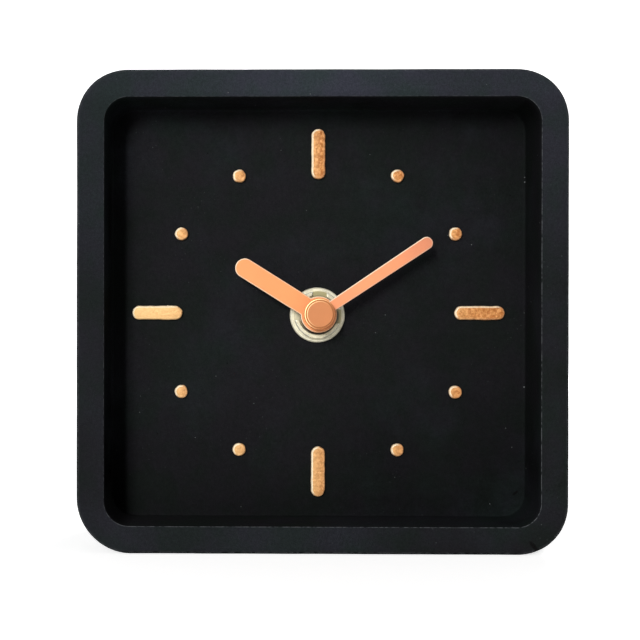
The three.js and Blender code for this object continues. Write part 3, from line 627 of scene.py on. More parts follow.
def oval_mark(tree, centre, half_sizes, degrees):
    """One in the middle of an oval on Object coordinates, turned about Y, and zero outside it.

    The centre and the half sizes are in millimetres.
    """
    mapping = tree.nodes.new("ShaderNodeMapping")
    mapping.vector_type = "TEXTURE"
    feed(tree, mapping.inputs["Vector"], tree.nodes.new("ShaderNodeTexCoord").outputs["Object"])
    mapping.inputs["Location"].default_value = [value * MM for value in centre]
    mapping.inputs["Rotation"].default_value = (0.0, math.radians(degrees), 0.0)
    mapping.inputs["Scale"].default_value = [value * MM for value in half_sizes]
    ball = tree.nodes.new("ShaderNodeTexGradient")
    ball.gradient_type = "SPHERICAL"
    feed(tree, ball.inputs[0], mapping.outputs["Vector"])
    return spread(tree, ball.outputs["Fac"], 0.05, 0.45)


def bump(tree, shader, height, distance, strength=1.0):
    """Sends a height through a Bump node to the shader's normal; the distance is in metres."""
    node = tree.nodes.new("ShaderNodeBump")
    node.inputs["Distance"].default_value = distance
    node.inputs["Strength"].default_value = strength
    feed(tree, node.inputs["Height"], height)
    tree.links.new(node.outputs["Normal"], shader.inputs["Normal"])


# Finishes

def cast_concrete(settings):
    """Dyed concrete: bloomed rim, blue-grey clouds, pale grit, pores and a fine sandy grain.

    Bloom carries painted light as well as the rim's bloom, and shade is painted shade. A dark
    mark near the rim's lower right corner is the painted shade of a small chip, and a scratch
    lies in the dial's.
    """
    material, tree, shader = new_material("cast_concrete", Specular_IOR_Level=0.015)
    grit_tone, dust_tone = (0.16, 0.17, 0.17), (0.075, 0.082, 0.084)
    worn_tone, pore_tone = (0.075, 0.08, 0.085), (0.002, 0.002, 0.002)
    chip_shade_tone = (0.004, 0.0035, 0.0035)
    # Bloom carries the rim's own bloom and its painted light
    bloom = attribute(tree, "bloom")
    base = blend_colours(tree, bloom, tuple(settings.dark), tuple(settings.pale))
    # Shade is painted shade and painted shadow, darkening the concrete towards black
    base = blend_colours(tree, attribute(tree, "shade"), base, (0.0, 0.0, 0.0))
    slow = use_group(tree, "Clouds", Scale=34.0, Low=0.46, High=0.78, First=base,
                     Second=tuple(settings.haze))
    softer = blend_colours(tree, 0.45, base, slow.outputs["Colour"])
    fine = use_group(tree, "Clouds", Scale=1500.0, Low=0.3, High=0.72,
                     First=(0.8, 0.8, 0.8), Second=(1.2, 1.2, 1.2))
    toned = blend_colours(tree, 0.8, softer, fine.outputs["Colour"], "MULTIPLY")
    tint = use_group(tree, "Clouds", Scale=95.0, Low=0.36, High=0.62,
                     First=(0.85, 1.0, 0.92), Second=(1.06, 0.99, 1.14))
    toned = blend_colours(tree, 1.0, toned, tint.outputs["Colour"], "MULTIPLY")
    sand = spread(tree, noise(tree, 4200.0, 2.0), 0.3, 0.7, 0.82, 1.18)
    toned = blend_colours(tree, 1.0, toned, sand, "MULTIPLY")
    grit = use_group(tree, "Scattered spots", Scale=330.0, Radius=0.055, Share=0.16)
    gritty = blend_colours(tree, maths(tree, "MULTIPLY", grit.outputs["Mask"], 0.7), toned,
                           grit_tone)
    drifts = use_group(tree, "Clouds", Scale=52.0, Low=0.5, High=0.68)
    dust = use_group(tree, "Scattered spots", Scale=1300.0, Radius=0.2, Share=0.22)
    thickness = maths(tree, "ADD", maths(tree, "MULTIPLY", drifts.outputs["Mask"], 0.4), 0.05)
    settled = maths(tree, "MULTIPLY", dust.outputs["Mask"], thickness)
    dusty = blend_colours(tree, settled, gritty, dust_tone)
    pores = use_group(tree, "Scattered spots", Scale=420.0, Radius=0.06, Share=0.03)
    sides = tree.nodes.new("ShaderNodeSeparateXYZ")
    feed(tree, sides.inputs[0], tree.nodes.new("ShaderNodeTexCoord").outputs["Object"])
    bubbles = use_group(tree, "Scattered spots", Scale=170.0, Radius=0.085, Share=0.16)
    holes = maths(tree, "MULTIPLY", bubbles.outputs["Mask"],
                  maths(tree, "MULTIPLY", spread(tree, sides.outputs["Y"], -18.5 * MM, -16.5 * MM),
                        spread(tree, bloom, 0.02, 0.12)))
    open_spots = maths(tree, "MAXIMUM", maths(tree, "MULTIPLY", pores.outputs["Mask"], 0.7),
                       maths(tree, "MULTIPLY", holes, 0.85))
    pitted = blend_colours(tree, open_spots, dusty, pore_tone)
    # Edge wear, with a painted highlight on the rim's inner right and bottom edges
    wear = use_group(tree, "Edge wear", Scale=1100.0, Cover=0.4)
    worn = blend_colours(tree, maths(tree, "MULTIPLY", wear.outputs["Mask"], 0.6), pitted,
                         worn_tone)
    # Dark mark near the rim's lower right corner: painted shade of a small chip there
    chip_shade = oval_mark(tree, (47.1, -20.0, 2.1), (1.8, 3.0, 0.6), 49)
    scratch = oval_mark(tree, (46.6, -5.0, 11.8), (1.1, 2.0, 0.35), -38)
    marks = maths(tree, "MAXIMUM", chip_shade, scratch)
    chip_shaded = blend_colours(tree, maths(tree, "MULTIPLY", marks, 0.8), worn, chip_shade_tone)
    feed(tree, shader.inputs["Base Color"], chip_shaded)
    feed(tree, shader.inputs["Roughness"],
         spread(tree, fine.outputs["Mask"], 0.0, 1.0, 0.72, 0.9))
    grain = use_group(tree, "Grain", Scale=1300.0, Fine_share=0.5)
    sunk = maths(tree, "ADD", maths(tree, "MULTIPLY", pores.outputs["Mask"], 3.0),
                 maths(tree, "MULTIPLY", holes, 6.0))
    height = maths(tree, "SUBTRACT", grain.outputs["Height"], sunk)
    bump(tree, shader, height, 0.06 * MM, 0.7)
    return material


def pale_grit():
    """Dull pale grit, clouded from grain to grain."""
    material, tree, shader = new_material("pale_grit", Specular_IOR_Level=0.2)
    clouds = use_group(tree, "Clouds", Scale=900.0, Low=0.3, High=0.7, First=(0.07, 0.075, 0.078),
                       Second=(0.2, 0.21, 0.21))
    feed(tree, shader.inputs["Base Color"], clouds.outputs["Colour"])
    feed(tree, shader.inputs["Roughness"], spread(tree, clouds.outputs["Mask"], 0.0, 1.0, 0.7, 0.9))
    grain = use_group(tree, "Grain", Scale=6000.0, Fine_share=0.4)
    bump(tree, shader, grain.outputs["Height"], 0.04 * MM, 0.7)
    return material


def copper_paint(settings):
    """Brushed-on copper paint over cast markers, paler on the edges."""
    material, tree, shader = new_material("copper_paint", Metallic=0.05, Specular_IOR_Level=0.4,
                                          Specular_Tint=(0.95, 0.9, 0.6))
    marks = use_group(tree, "Clouds", Scale=1100.0, Low=0.42, High=0.62,
                      First=tuple(settings.paint), Second=tuple(settings.shade))
    toned = blend_colours(tree, 0.8, tuple(settings.paint), marks.outputs["Colour"])
    speckle = use_group(tree, "Clouds", Scale=1550.0, Low=0.42, High=0.58, First=(0.8, 0.66, 0.5),
                        Second=(1.2, 1.3, 1.42))
    speckled = blend_colours(tree, 1.0, toned, speckle.outputs["Colour"], "MULTIPLY")
    # Painted sheen: markers at the left, and each marker's left side, turn paler
    toned = blend_colours(tree, attribute(tree, "bloom"), speckled, tuple(settings.pale))
    # Edge wear, with a painted highlight on the edges that face the light
    edge = use_group(tree, "Edge wear", Scale=700.0, Cover=0.6)
    paled = blend_colours(tree, maths(tree, "MULTIPLY", edge.outputs["Mask"], 0.9), toned,
                          tuple(settings.glint))
    nicks = use_group(tree, "Scattered spots", Scale=900.0, Radius=0.16, Share=0.07)
    nicked = blend_colours(tree, nicks.outputs["Mask"], paled, tuple(settings.shade))
    feed(tree, shader.inputs["Base Color"],
         blend_colours(tree, attribute(tree, "shade"), nicked, (0.012, 0.012, 0.012)))
    feed(tree, shader.inputs["Roughness"],
         spread(tree, marks.outputs["Mask"], 0.0, 1.0, 0.36, 0.44))
    grain = use_group(tree, "Grain", Scale=1500.0, Fine_share=0.3)
    bump(tree, shader, grain.outputs["Height"], 0.18 * MM, 0.8)
    return material


def satin_copper(name, tone, edge_tone, polish=0.0):
    """Satin copper plate, brushed very finely, with pale rounded edges, polished if asked.

    Bloom dulls it, and shade is painted shade on the edges that face away from the light.
    The pale edges are partly a painted highlight.
    """
    material, tree, shader = new_material(name, Metallic=0.12, Specular_IOR_Level=0.35)
    clouds = use_group(tree, "Clouds", Scale=90.0, Low=0.3, High=0.8,
                       First=(0.95, 0.95, 0.95), Second=(1.04, 1.02, 1.0))
    duller = blend_colours(tree, attribute(tree, "bloom"), tone,
                           tuple(c * d for c, d in zip(tone, (0.71, 0.68, 0.78))))
    toned = blend_colours(tree, 1.0, duller, clouds.outputs["Colour"], "MULTIPLY")
    edge = use_group(tree, "Edge wear", Scale=120.0, Cover=0.62)
    paled = blend_colours(tree, maths(tree, "MULTIPLY", edge.outputs["Mask"], 0.8), toned,
                          edge_tone)
    # Shade is painted shade on the cap's edges that face away from the light
    feed(tree, shader.inputs["Base Color"],
         blend_colours(tree, attribute(tree, "shade"), paled, (0.11, 0.03, 0.008)))
    grain = use_group(tree, "Grain", Scale=4200.0, Fine_share=0.3)
    feed(tree, shader.inputs["Roughness"],
         spread(tree, grain.outputs["Height"], 0.3, 1.0, 0.46, 0.58))
    if polish:
        feed(tree, shader.inputs["Metallic"], maths(
            tree, "ADD", 0.12, maths(tree, "MULTIPLY", edge.outputs["Mask"], polish)))
    bump(tree, shader, grain.outputs["Height"], 0.01 * MM, 0.5)
    return material


def plain_metal(name, tone, roughness, worn_tone, brush=None, metallic=1.0):
    """Plated or drawn metal with faint clouds, fine brush marks and brighter edges.

    Shade turns it to patina, which on the nut's slot floors is also painted shade, and bloom
    darkens it with painted shade in the nut's mouth and slots. The lips beside the slots carry
    painted highlights.
    """
    material, tree, shader = new_material(name, Metallic=metallic)
    dull = tuple(c * 0.72 for c in tone)
    clouds = use_group(tree, "Clouds", Scale=420.0, Low=0.35, High=0.75, First=tone, Second=dull)
    edge = use_group(tree, "Edge wear", Scale=600.0, Cover=0.55)
    # Shade is patina, and on the nut's slot floors also painted shade; bloom is painted shade in
    # the nut's mouth and slots
    aged = blend_colours(tree, attribute(tree, "shade"), clouds.outputs["Colour"],
                         tuple(c * d for c, d in zip(tone, (0.42, 0.4, 0.26))))
    shaded = blend_colours(tree, attribute(tree, "bloom"), aged, (0.02, 0.018, 0.015))
    feed(tree, shader.inputs["Base Color"],
         blend_colours(tree, edge.outputs["Mask"], shaded, worn_tone))
    marks = noise(tree, 900.0, 3.0, 0.6, brush or (1.0, 1.0, 1.0))
    feed(tree, shader.inputs["Roughness"],
         spread(tree, marks, 0.3, 0.7, roughness - 0.07, roughness + 0.1))
    bump(tree, shader, marks, 0.012 * MM, 0.5)
    return material


def moulded_plastic(name, tone, roughness, grain_scale=2600.0, depth=0.02 * MM):
    """Moulded plastic with a fine spark-eroded texture and slightly polished edges."""
    material, tree, shader = new_material(name, Specular_IOR_Level=0.4)
    paler = tuple(min(1.0, c * 1.35 + 0.003) for c in tone)
    clouds = use_group(tree, "Clouds", Scale=140.0, Low=0.3, High=0.8, First=tone, Second=paler)
    edge = use_group(tree, "Edge wear", Scale=400.0, Cover=0.4)
    feed(tree, shader.inputs["Base Color"], blend_colours(
        tree, maths(tree, "MULTIPLY", edge.outputs["Mask"], 0.4), clouds.outputs["Colour"],
        tuple(min(1.0, c * 2.2 + 0.01) for c in tone)))
    grain = use_group(tree, "Grain", Scale=grain_scale, Fine_share=0.4)
    feed(tree, shader.inputs["Roughness"],
         spread(tree, grain.outputs["Height"], 0.35, 1.0, roughness - 0.08, roughness + 0.1))
    bump(tree, shader, grain.outputs["Height"], depth, 0.6)
    return material


def wound_wire(tone):
    """Enamelled wire in close turns across the coil: bands along Z with a darker groove."""
    material, tree, shader = new_material("wound_wire", Metallic=0.8)
    wave = tree.nodes.new("ShaderNodeTexWave")
    wave.bands_direction = "Z"
    wave.inputs["Scale"].default_value = 1600.0
    wave.inputs["Distortion"].default_value = 0.6
    place = tree.nodes.new("ShaderNodeTexCoord").outputs["Object"]
    tree.links.new(place, wave.inputs["Vector"])
    feed(tree, shader.inputs["Base Color"], blend_colours(
        tree, wave.outputs["Fac"], tuple(c * 0.4 for c in tone), tone))
    feed(tree, shader.inputs["Roughness"], spread(tree, wave.outputs["Fac"], 0.0, 1.0, 0.5, 0.3))
    bump(tree, shader, wave.outputs["Fac"], 0.05 * MM, 0.8)
    return material


def material_named(name, maker):
    """The material of that name, made on first use."""
    return bpy.data.materials.get(f"clock_{name}") or maker()


def finish_for(slot):
    """Material for a slot of the record."""
    scene = bpy.context.scene
    metal, movement = scene.clock_metal, scene.clock_movement
    hands, markers = scene.clock_hands, scene.clock_markers
    bright = (0.85, 0.85, 0.83)
    makers = {
        "cast_black": ("cast_concrete", lambda: cast_concrete(scene.clock_case)),
        "copper_paint": ("copper_paint", lambda: copper_paint(markers)),
        "satin_copper": ("satin_copper_hour", lambda: satin_copper(
            "satin_copper_hour", tuple(hands.hour_tone), tuple(hands.edge_tone))),
        "pale_brass": ("pale_plating", lambda: plain_metal(
            "pale_plating", tuple(metal.plate_tone), 0.46, (1.0, 0.98, 0.86), None, 0.3)),
        "brass": ("turned_brass", lambda: plain_metal(
            "turned_brass", tuple(metal.brass_tone), 0.32, (0.85, 0.66, 0.32))),
        "steel": ("bright_steel", lambda: plain_metal(
            "bright_steel", tuple(metal.steel_tone), 0.3, bright, (1.0, 9.0, 1.0))),
        "black_plastic": ("black_moulding", lambda: moulded_plastic(
            "black_moulding", tuple(movement.shell_tone), 0.5)),
        "white_plastic": ("white_moulding", lambda: moulded_plastic(
            "white_moulding", tuple(movement.wheel_tone), 0.42, 3600.0, 0.008 * MM)),
        "rubber": ("rubber", lambda: moulded_plastic("rubber", (0.012, 0.012, 0.012), 0.8)),
        "dark_magnet": ("sintered_magnet", lambda: plain_metal(
            "sintered_magnet", (0.07, 0.07, 0.072), 0.5, (0.2, 0.2, 0.2))),
        "wire_copper": ("wound_wire", lambda: wound_wire(tuple(metal.wire_tone))),
        "board_green": ("lacquered_board", lambda: moulded_plastic(
            "lacquered_board", tuple(movement.board_tone), 0.32, 900.0, 0.01 * MM)),
        "black_resin": ("black_resin", lambda: moulded_plastic(
            "black_resin", (0.008, 0.008, 0.008), 0.22, 700.0, 0.01 * MM)),
        "battery_sleeve": ("battery_sleeve", lambda: battery_sleeve(tuple(movement.sleeve_tone))),
    }
    name, maker = makers[slot]
    return material_named(name, maker)


def battery_sleeve(tone):
    """Lacquered sleeve with a paler band towards the positive end and bright bare ends."""
    material, tree, shader = new_material("battery_sleeve", Coat_Roughness=0.15)
    band = attribute(tree, "bloom")
    bare = attribute(tree, "edge")
    clouds = use_group(tree, "Clouds", Scale=200.0, Low=0.35, High=0.8, First=tone,
                       Second=tuple(c * 1.15 for c in tone))
    printed = blend_colours(tree, band, clouds.outputs["Colour"], (0.42, 0.43, 0.43))
    feed(tree, shader.inputs["Base Color"], blend_colours(tree, bare, printed, (0.62, 0.61, 0.6)))
    feed(tree, shader.inputs["Metallic"],
         maths(tree, "ADD", maths(tree, "MULTIPLY", bare, 0.6), 0.35))
    feed(tree, shader.inputs["Coat Weight"], maths(tree, "SUBTRACT", 0.6,
                                                   maths(tree, "MULTIPLY", bare, 0.6)))
    grain = use_group(tree, "Grain", Scale=1500.0, Fine_share=0.3)
    feed(tree, shader.inputs["Roughness"],
         spread(tree, grain.outputs["Height"], 0.3, 1.0, 0.3, 0.4))
    bump(tree, shader, grain.outputs["Height"], 0.01 * MM, 0.4)
    return material


# Case

def case_sections(s):
    """Ring sizes from the bush hole over the dial, up the recess, over the rim and down the pocket.

    Each row is half width, half height, corner radius, y, share of the round hole, edge and bloom.
    Roundings are quarter circles, and faces run at even steps between two ring sizes.
    """
    low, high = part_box("case_body")
    front, back = low.y, high.y
    half_x, half_z = (high.x - low.x) / 2, (high.z - low.z) / 2
    dial = front + s.recess_depth
    pocket_floor = dial + s.dial_thickness
    open_x, open_z = half_x - s.rim_width, half_z - s.rim_width
    pocket = s.pocket_size / 2
    fillet, inner, outer = s.floor_fillet, s.inner_rounding, s.outer_rounding
    sines, cosines = quarter(6)
    rows = []

    def face(start, end, steps, edge=0.0, bloom=(0.0, 0.0)):
        t = np.linspace(0.0, 1.0, steps + 1)[:, None]
        sizes = np.asarray(start, float) * (1 - t) + np.asarray(end, float) * t
        glow = np.linspace(*bloom, steps + 1)[:, None]
        rows.append(np.concatenate([sizes, np.full_like(t, edge), glow], axis=1))

    def bend(half_a, half_b, radius, grow, y, edge, bloom):
        count = len(grow)
        bell = np.sin(np.linspace(0.0, np.pi, count)) * edge
        rows.append(np.stack([half_a + grow, half_b + grow, radius + grow, y, np.zeros(count),
                              bell, np.full(count, bloom)], axis=1))

    recess = s.recess_corner
    face((open_x - fillet, open_z - fillet, recess - fillet, dial, 1.0),
         (open_x - fillet, open_z - fillet, recess - fillet, dial, 0.0), 46)
    bend(open_x, open_z, recess, -fillet * (1 - sines), dial - fillet * (1 - cosines), 0.0, 0.0)
    face((open_x, open_z, recess, dial - fillet * 1.2, 0.0),
         (open_x, open_z, recess, front + inner * 1.2, 0.0), 12, bloom=(0.0, 0.05))
    bend(open_x, open_z, recess, inner * (1 - cosines), front + inner * (1 - sines), 1.0, 0.9)
    face((open_x + inner * 1.2, open_z + inner * 1.2, recess + inner * 1.2, front, 0.0),
         (half_x - outer * 1.1, half_z - outer * 1.1, s.corner_radius - outer * 1.1, front, 0.0), 9,
         bloom=(1.0, 1.0))
    bend(half_x, half_z, s.corner_radius, -outer * (1 - sines), front + outer * (1 - cosines),
         0.8, 1.0)
    face((half_x, half_z, s.corner_radius, front + outer * 1.1, 0.0),
         (half_x, half_z, s.corner_radius, back - outer * 1.1, 0.0), 24, bloom=(0.9, 0.9))
    bend(half_x, half_z, s.corner_radius, -outer * (1 - cosines), back - outer * (1 - sines),
         0.8, 0.9)
    face((half_x - outer * 1.1, half_z - outer * 1.1, s.corner_radius - outer * 1.1, back, 0.0),
         (pocket + inner * 1.2, pocket + inner * 1.2, s.pocket_corner + inner * 1.2, back, 0.0), 18,
         bloom=(0.85, 0.8))
    bend(pocket, pocket, s.pocket_corner, inner * (1 - sines), back - inner * (1 - cosines),
         0.6, 0.6)
    face((pocket, pocket, s.pocket_corner, back - inner * 1.2, 0.0),
         (pocket, pocket, s.pocket_corner, pocket_floor + fillet * 1.2, 0.0), 9, bloom=(0.5, 0.4))
    bend(pocket, pocket, s.pocket_corner, -fillet * (1 - cosines),
         pocket_floor + fillet * (1 - sines), 0.2, 0.4)
    face((pocket - fillet, pocket - fillet, s.pocket_corner - fillet, pocket_floor, 0.0),
         (pocket - fillet, pocket - fillet, s.pocket_corner - fillet, pocket_floor, 1.0), 16,
         bloom=(0.4, 0.4))
    face((open_x, open_z, recess, pocket_floor - 0.3 * MM, 1.0),
         (open_x, open_z, recess, dial + 0.3 * MM, 1.0), 3)
    return np.concatenate(rows)


# How much fuller than an even arc each corner is: its side, its height and the push
CORNER_PUSHES = ((-1, 1, 0.27 * MM), (1, 1, 0.27 * MM), (1, -1, 0.36 * MM), (-1, -1, -0.22 * MM))
CORNER_REACH = 12 * MM

# Soft patches of paler bloom and of painted light and shade on the rim: amount, step across and
# step up
BLOOM_BASE = 0.16
BLOOM_AND_LIGHT_PATCHES = (
    (0.17, None, (0.06, 0.09)),
    (0.17, None, (0.1, 0.104)),
    (-0.16, (-0.01, 0.03), (0.08, 0.04)),
    (-0.07, (-0.045, -0.051), (0.098, 0.088)),
    (-0.06, (0.02, 0.04), (0.05, 0.02)),
    (0.05, (0.045, 0.05), (0.055, 0.085)),
    (0.1, (0.02, 0.0), (0.014, 0.006)),
)

# Soft patches of painted shade in the recess, with the painted shadow of the rim at the left
SHADE_BASE = -0.06
SHADE_PATCHES = (
    (0.3, (-0.01, 0.045), None),
    (0.28, None, (0.045, 0.01)),
    (0.15, None, (0.088, 0.1)),
    (0.12, None, (0.095, 0.1)),
    (0.08, None, (0.014, 0.008)),
    (0.62, (-0.042, -0.0465), None),
    (-0.1, (0.015, 0.045), None),
)

# Larger chips on the rim: x and z in metres, radius and depth in millimetres
LARGE_CHIPS = (
    (0.0525, 0.0016, 1.6, 0.45), (0.0478, 0.0003, 1.1, 0.3), (0.0545, 0.0205, 0.9, 0.25),
    (0.0301, 0.0062, 0.8, 0.25), (-0.0180, 0.0062, 0.7, 0.2),
)


def case_grid(s):
    """Closed surface of the case: matching rounded rings, carried through every section.

    On the dial and the pocket floor a ring blends to the round hole at equal angles. The skin is
    then let in along its normals by slow waves and by small chips on the rim's edges. Each corner
    is pushed out along its diagonal by the product of the places past the two sides' ends.
    """
    rows = case_sections(s)
    flat = rounded_ring(rows[:, 0], rows[:, 1], rows[:, 2], 15, 70)
    angle = np.arctan2(flat[..., 1], flat[..., 0])
    hole = s.bush_hole * np.stack([np.cos(angle), np.sin(angle)], axis=-1)
    share_hole = rows[:, 4][:, None, None]
    flat = flat * (1 - share_hole) + hole * share_hole
    height = centre_of("case_body")[2]
    grid = np.stack([flat[..., 0], np.broadcast_to(rows[:, 3][:, None], flat.shape[:2]),
                     flat[..., 1] + height], axis=-1)
    normals = grid_normals(grid)
    rim_row = int(np.argmin(rows[:, 3]))
    if normals[rim_row + 3, 40, 1] > 0:
        normals = -normals
    depth = s.waviness * (0.5 + 0.5 * ripple(grid, 22 * MM, 3))
    depth += s.waviness * 0.35 * (0.5 + 0.5 * ripple(grid, 5 * MM, 4))
    for centre, radius, deep in chip_places():
        near = 1.0 - ((grid - centre) ** 2).sum(axis=-1) / radius ** 2
        depth += deep * np.clip(near, 0.0, 1.0) ** 2
    grid = grid - normals * np.clip(depth, 0.0, None)[..., None]
    push_corners(grid, height)
    return grid, case_fields(s, grid, rows, rim_row)


def push_corners(grid, height):
    """Moves the corners along their diagonals, in place, and keeps the foot on the floor."""
    low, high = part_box("case_body")
    for right, top, push in CORNER_PUSHES:
        across = grid[..., 0] * right - (high.x - CORNER_REACH)
        along = (grid[..., 2] - height) * top - (high.z - height - CORNER_REACH)
        part = np.clip(across / CORNER_REACH, 0.0, 1.0) * np.clip(along / CORNER_REACH, 0.0, 1.0)
        move = part * math.sqrt(2.0) * push
        grid[..., 0] += right * move
        grid[..., 2] += top * move
    grid[..., 2] = np.maximum(grid[..., 2], 0.0)


def case_fields(s, grid, rows, rim_row):
    """Worn edges, bloom and shade of the case, from each point's place.

    Bloom is the section's own share times soft patches of bloom and painted light, paler at the
    top's middle, where it is a painted highlight, and at the back. Shade is painted shade and
    painted shadow in the recess alone, in from the rim, with painted shade on its walls, and a
    painted contact shadow on the foot's edge.
    """
    x, y, z = np.moveaxis(grid, -1, 0)
    front = rows[:, 3].min()
    in_recess = (np.arange(len(rows)) < rim_row)[:, None]
    # Bloom and painted light: paler higher up, with a painted highlight along the top's middle,
    # darker in places lower down
    rise = patches(x, z, BLOOM_BASE, BLOOM_AND_LIGHT_PATCHES)
    rise += 0.48 * np.exp(-((x / 0.026) ** 2)) * step(z, 0.1, 0.104)
    rise += 0.18 * step(y, -0.01, 0.01)
    bloom = rows[:, 6][:, None] * (rise + 0.06 * ripple(grid, 26 * MM, 8))

    # Painted shade and painted shadow in the recess
    shade = patches(x, z, SHADE_BASE, SHADE_PATCHES)
    dial = front + s.recess_depth
    # Painted shade on the recess walls: darker on the left and top walls, a little darker on the
    # right wall, lighter on the bottom wall and on the top wall's right part
    wall = step(y, dial - 0.4 * MM, dial - 0.8 * MM)
    foot = step(z, 0.02, 0.008)
    shade += wall * (0.3 * (x < 0.04) * (1.0 - foot) - 0.3 * foot + 0.16 * (x > 0.04))
    shade -= wall * 0.3 * step(x, 0.005, 0.025) * (x < 0.046) * (z > 0.09)
    inside = step(y, front + 0.3 * MM, front + 2.8 * MM) * in_recess
    inside = inside * (rows[:, 3] < dial + 0.1 * MM)[:, None]
    shade = inside * (shade + 0.05 * ripple(grid, 30 * MM, 12))
    # Painted contact shadow along the foot's outer edge
    shade += 0.75 * step(z, 1.0 * MM, 0.2 * MM)

    # Painted highlight: the edge share rises on the rim's inner right and bottom edges, which face
    # the light
    facing = (step(x, 0.042, 0.048) + step(z, 0.012, 0.007)) * in_recess
    return {"edge": rows[:, 5][:, None] * (1.0 + 1.5 * facing), "bloom": np.clip(bloom, 0, 1),
            "shade": shade}


def chip_places():
    """Chips on the rim as centre, radius and depth: the larger ones, then ten seeded small ones."""
    rng = np.random.default_rng(21)
    low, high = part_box("case_body")
    middle = (low.z + high.z) / 2
    chips = [(np.array([x, low.y, z]), radius * MM, depth * MM)
             for x, z, radius, depth in LARGE_CHIPS]
    for number in range(10):
        along = rng.uniform(-0.8, 0.8) * 45 * MM
        x, z = ((along, high.z), (along, low.z),
                (high.x, middle + along), (low.x, middle + along))[number % 4]
        chips.append((np.array([x, low.y, z]), rng.uniform(0.5, 0.9) * MM,
                      rng.uniform(0.08, 0.2) * MM))
    return chips


def marker_grid(half_length, radius, height, s, seed, turn):
    """Raised marker about the Y axis, standing towards -Y.

    Every point of the outline belongs to a point of the middle line and looks out from it. Rings
    step in from the outline by a quarter-circle rounding, then over a nearly flat top to the
    middle line. Seeded waves move the outline and the top a little. Edge wear carries a painted
    highlight that is stronger on the edges that face the light, and the foot stays bare of paint.
    """
    bend_steps, side_steps = 28, max(1, int(half_length / (0.16 * MM)))
    crown = 0.05 * MM
    over = np.linspace(0.0, np.pi, bend_steps + 1)
    up = np.linspace(-half_length, half_length, side_steps + 1)[1:-1]
    angles = np.concatenate([over, np.full(len(up), np.pi), over + np.pi, np.zeros(len(up))])
    middle = np.concatenate([np.full(bend_steps + 1, half_length), up[::-1],
                             np.full(bend_steps + 1, -half_length), up])
    out = np.stack([np.cos(angles), np.sin(angles)], axis=-1)
    sines, cosines = quarter(6)
    rounding = min(s.rounding, radius * 0.5)
    inner = np.linspace(0.06, 1.0, 12)
    inset = np.concatenate([[0.0, 0.0], rounding * (1 - cosines),
                            rounding + (radius - rounding) * inner])
    top = height - rounding - crown
    depth = np.concatenate([[-0.15 * MM, top * 0.4], top + rounding * sines,
                            height - crown + crown * smooth(inner * 1.5)])
    reach = np.maximum(radius - inset, 0.0)[:, None]
    around = np.stack([out[:, 0] * radius, np.zeros(len(out)), out[:, 1] * radius + middle],
                      axis=-1)
    wander = ripple(around, 2.2 * MM, seed) + 0.5 * ripple(around, 0.9 * MM, seed + 50) - 1.0
    reach = reach + s.unevenness * wander * np.clip(reach / radius, 0.0, 1.0)
    grid = np.stack([reach * out[:, 0], np.broadcast_to(-depth[:, None], reach.shape),
                     reach * out[:, 1] + middle], axis=-1)
    grid[2:, :, 1] += 0.012 * MM * (ripple(grid[2:] + seed * 0.01, 2.4 * MM, seed + 9) + 1.0)
    grid[2:, :, 1] += 0.003 * MM * ripple(grid[2:] + seed * 0.01, 0.6 * MM, seed + 17)
    edge = np.concatenate([[0.0, 0.0], np.linspace(0.7, 1.0, len(sines)),
                           0.7 * (1 - smooth(inner * 20))])
    # Painted highlight: edges that face the light get more of the edge share
    lit = step(facing_light(out[:, 0], out[:, 1], turn), -0.15, 0.75)
    bare = np.concatenate([[1.0, 0.85, 0.25], np.zeros(len(depth) - 3)])
    return {"grid": grid, "edge": edge[:, None] * (0.1 + 0.9 * lit), "shade": bare, "wrap": False}


def grain_grids(places, seed):
    """Loose grains: balls whose radius is changed by seeded waves, pressed flat along Y.

    A ball is a half circle of latitudes turned about Y, and each place is x, y, z and radius.
    """
    bend = np.linspace(-np.pi / 2, np.pi / 2, 9)
    ball = lathe(np.stack([np.cos(bend), np.sin(bend)], axis=-1), 12)
    parts = []
    for i, (x, y, z, radius) in enumerate(places):
        lumps = 1.0 + 0.3 * ripple(ball, 1.3, seed + i)[..., None]
        squash = np.array([1.0, 0.6, 0.75 + 0.25 * math.sin(seed + 2.3 * i)])
        parts.append({"grid": ball * lumps * squash * radius + np.array([x, y, z]), "wrap": False})
    return parts


def cap_profile(front, back, radius, face):
    """Cap section as radius, y and edge share: straight side, narrow lip, flat chamfer and face.

    Rows are written as millimetres out from the side or from the face's edge, and in from the
    front, where they aren't at the back or on the axis.
    """
    side = [(0.0, 0.55, 0.0), (0.0, 0.42, 0.3), (-0.03, 0.375, 1.0), (-0.08, 0.36, 1.0),
            (-0.2, 0.355, 0.9), (-0.24, 0.35, 0.0)]
    flat = [(0.14, 0.125, 0.0), (0.09, 0.08, 0.0), (0.03, 0.025, 0.7), (-0.03, 0.0, 1.0),
            (-0.09, 0.0, 0.3), (-0.15, 0.0, 0.0)]
    rows = [(0.0, back, 0.0), (radius - 0.1 * MM, back, 0.0), (radius, back - 0.1 * MM, 0.0)]
    rows += [(radius + out * MM, front + deep * MM, worn) for out, deep, worn in side]
    rows += [(face + out * MM, front + deep * MM, worn) for out, deep, worn in flat]
    rows += [(face * 0.7, front, 0.0), (face * 0.35, front, 0.0), (0.0, front, 0.0)]
    return np.array(rows)


